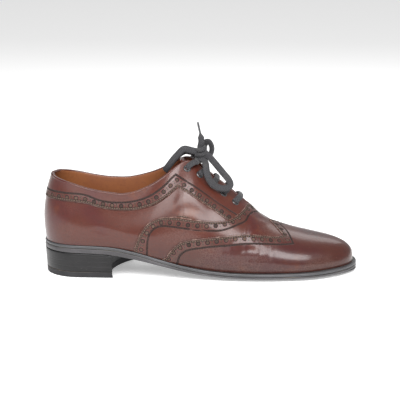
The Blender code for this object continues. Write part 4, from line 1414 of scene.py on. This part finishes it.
def braid():
    recipe = Recipe("waxed_braid", 0.6, specular=0.35, sheen=0.15)
    run, turn = recipe.field("run"), recipe.field("turn")
    slant = (run * 0.62 + turn * 6.0).math("FRACT")
    other = (run * 0.62 - turn * 6.0).math("FRACT")
    rib = ((slant - 0.5) * (slant - 0.5) + (other - 0.5) * (other - 0.5)) * 2.0
    fuzz = recipe.noise(900.0, 3.0, 0.7)
    dust = recipe.noise(90.0, 3.0, 0.6)
    # Painted shade darkens the gaps between the ribs.
    shade = recipe.mix(rib.step(0.1, 0.7), srgb("39383b"), srgb("1c1c1e"))
    shade = recipe.mix(dust.step(0.5, 0.75) * 0.35, shade, srgb("4d4b48"))
    return recipe.finish(shade, 0.5 + fuzz * 0.25, fuzz * 0.12 - rib * 0.30)


lace_look = braid()
spots = eyelet_spots()
for pair in range(EYELET_PAIRS):
    half = []
    for number, station, side, height in spots[2 * pair:2 * pair + 2]:
        points = []
        for step, share, lift, drawn in BAR_ROUTE:
            pull = BAR_PULL[pair] if drawn else 1.0
            up = height + share * (1 - height)
            points.append(on_last(station + step * pull, side, up, lift * pull))
        half.append(points)
    route = half[0] + half[1][::-1]
    away = half[0][1] - half[0][3]
    bar = strand("lace_over_%d" % number, route, LACE_WIDE, LACE_THICK, away, 120, 20)
    finish_piece(bar, lace_look, "lace", "lace_bar_%d" % number)

# %% [markdown]
# The bow is tied once and has slipped: one loop hangs back over the collar, one hangs
# forward over the facing, a short one stands up behind the knot, and one end points at
# the sky with its hard tag. The routes repeat those of the solids, point by point, in
# millimetres from the back of the heel, the middle of the plan and the floor. Each loop
# is a cord that leaves the knot and comes back to it, and its length is printed.

# %% Bow
BOW = {
    "back": [
        (150.2, -1.4, 116.6), (146.4, -2.4, 117.6), (142.0, -2.8, 118.8), (136.0, -3.2, 119.8),
        (130.6, -3.4, 114.8), (125.7, -3.2, 109.2), (120.8, -2.8, 102.6), (117.4, 0.2, 98.0),
        (120.6, 3.0, 101.6), (125.8, 2.8, 107.8), (131.0, 2.6, 113.4), (136.5, 2.8, 116.6),
        (141.6, 3.2, 116.0), (147.0, 2.6, 114.6)],
    "front": [
        (153.0, -1.8, 117.0), (157.4, -4.4, 115.4), (162.6, -9.0, 111.4), (168.4, -12.6, 105.4),
        (174.2, -15.0, 98.8), (179.6, -16.4, 92.4), (180.6, -17.0, 87.2), (175.6, -17.4, 84.6),
        (168.4, -17.8, 86.0), (163.0, -18.6, 90.4), (159.8, -18.4, 96.0), (158.2, -16.2, 102.0),
        (157.4, -12.4, 107.4), (155.4, -7.2, 110.4)],
    "top": [
        (152.2, 1.4, 116.4), (154.2, 6.0, 118.8), (156.2, 6.4, 123.8), (160.0, 5.5, 125.2),
        (162.6, 4.6, 119.6), (161.6, 2.6, 114.0), (159.4, 0.6, 112.4), (154.4, -1.0, 111.4)],
    "end": [
        (152.8, -2.2, 111.0), (151.9, -0.8, 115.4), (151.6, 1.6, 120.9), (152.6, 2.0, 125.4),
        (152.4, 2.0, 129.5), (151.7, 2.0, 133.9), (150.4, 2.0, 139.8), (149.4, 2.0, 145.1)],
}
TAG_LENGTH = 0.0112


def bow_route(name):
    return [np.array(point) / 1000 + SHIFT for point in BOW[name]]


def declare(piece, route, far_end, *ends):
    path, length = curve_through(route, 200)
    print("%s: %.0f mm of lace" % (piece.name, length * 1000))


for name, thin, node in (("back", (0, -1, 0.3), "lace_loop_back"),
                         ("front", (0, -1, 0.2), "lace_loop_front"),
                         ("top", (0, -1, 0), "lace_loop_top")):
    loop = strand("loop_" + name, bow_route(name), LOOP_WIDE, LACE_THICK, thin, 220, 20)
    finish_piece(loop, lace_look, "lace", node)
    declare(loop, bow_route(name), "knot")

# %% [markdown]
# The loose end narrows towards its tag, a hard tube pressed round the lace. The knot
# turns three times about a leaning axis, and hides where all the routes begin.

# %% Loose end, tag and knot
KNOT_TURNS, KNOT_RADIUS, KNOT_LOW, KNOT_HIGH = 3.1, 0.0040, 107.4, 120.4
KNOT_STEPS, KNOT_START = 32, 0.6
KNOT_AT, KNOT_MIDDLE, KNOT_LEAN = (0.1528, -0.0008), 115.0, (-0.00012, 0.00030)
KNOT_WIDE, KNOT_THICK = 0.0058, 0.0040


def tag_plastic():
    recipe = Recipe("tag_plastic", 0.3, coat=0.4, coat_roughness=0.15)
    scratch = recipe.noise(700.0, 3.0, 0.6)
    shade = recipe.mix(scratch.step(0.4, 0.8), srgb("2d2d30"), srgb("4b4a4a"))
    return recipe.finish(shade, 0.26 + scratch * 0.2, scratch * 0.05)


def knot_point(way):
    """Point at a share of the way up the knot. Its axis leans with the height in mm."""
    angle = way * KNOT_TURNS * 2 * math.pi + KNOT_START
    tall = KNOT_LOW + (KNOT_HIGH - KNOT_LOW) * way
    x, y = [KNOT_AT[k] + KNOT_RADIUS * turn(angle) + KNOT_LEAN[k] * (tall - KNOT_MIDDLE)
            for k, turn in enumerate((math.cos, math.sin))]
    return SHIFT + np.array((x, y, tall / 1000))


END_STEPS = 400
end_path, end_length = curve_through(bow_route("end"), END_STEPS)
tag_start = end_length - TAG_LENGTH
loose_end = strand("loose_end", bow_route("end"), LACE_WIDE, LACE_THICK, (0, -1, 0), 260, 20,
                   lambda run: np.interp(run, (0, tag_start - 0.004, tag_start, 1),
                                         (0.95, 1.05, 0.34, 0.33)))
finish_piece(loose_end, lace_look, "lace", "lace_end")
inside_tag = end_path[int(END_STEPS * (1 - TAG_LENGTH / end_length)):]
tag = strand("lace_tip", inside_tag, 0.0020, 0.0018, (0, -1, 0), 60, 16)
finish_piece(tag, tag_plastic(), "lace", "lace_tag")
declare(loose_end, bow_route("end"), "fitting", tag)

knot_route = [knot_point(step / (KNOT_STEPS - 1)) for step in range(KNOT_STEPS)]
knot = strand("knot_wraps", knot_route, KNOT_WIDE, KNOT_THICK,
              (math.cos(KNOT_START), math.sin(KNOT_START), 0), 240, 20)
finish_piece(knot, lace_look, "lace", "lace_knot")
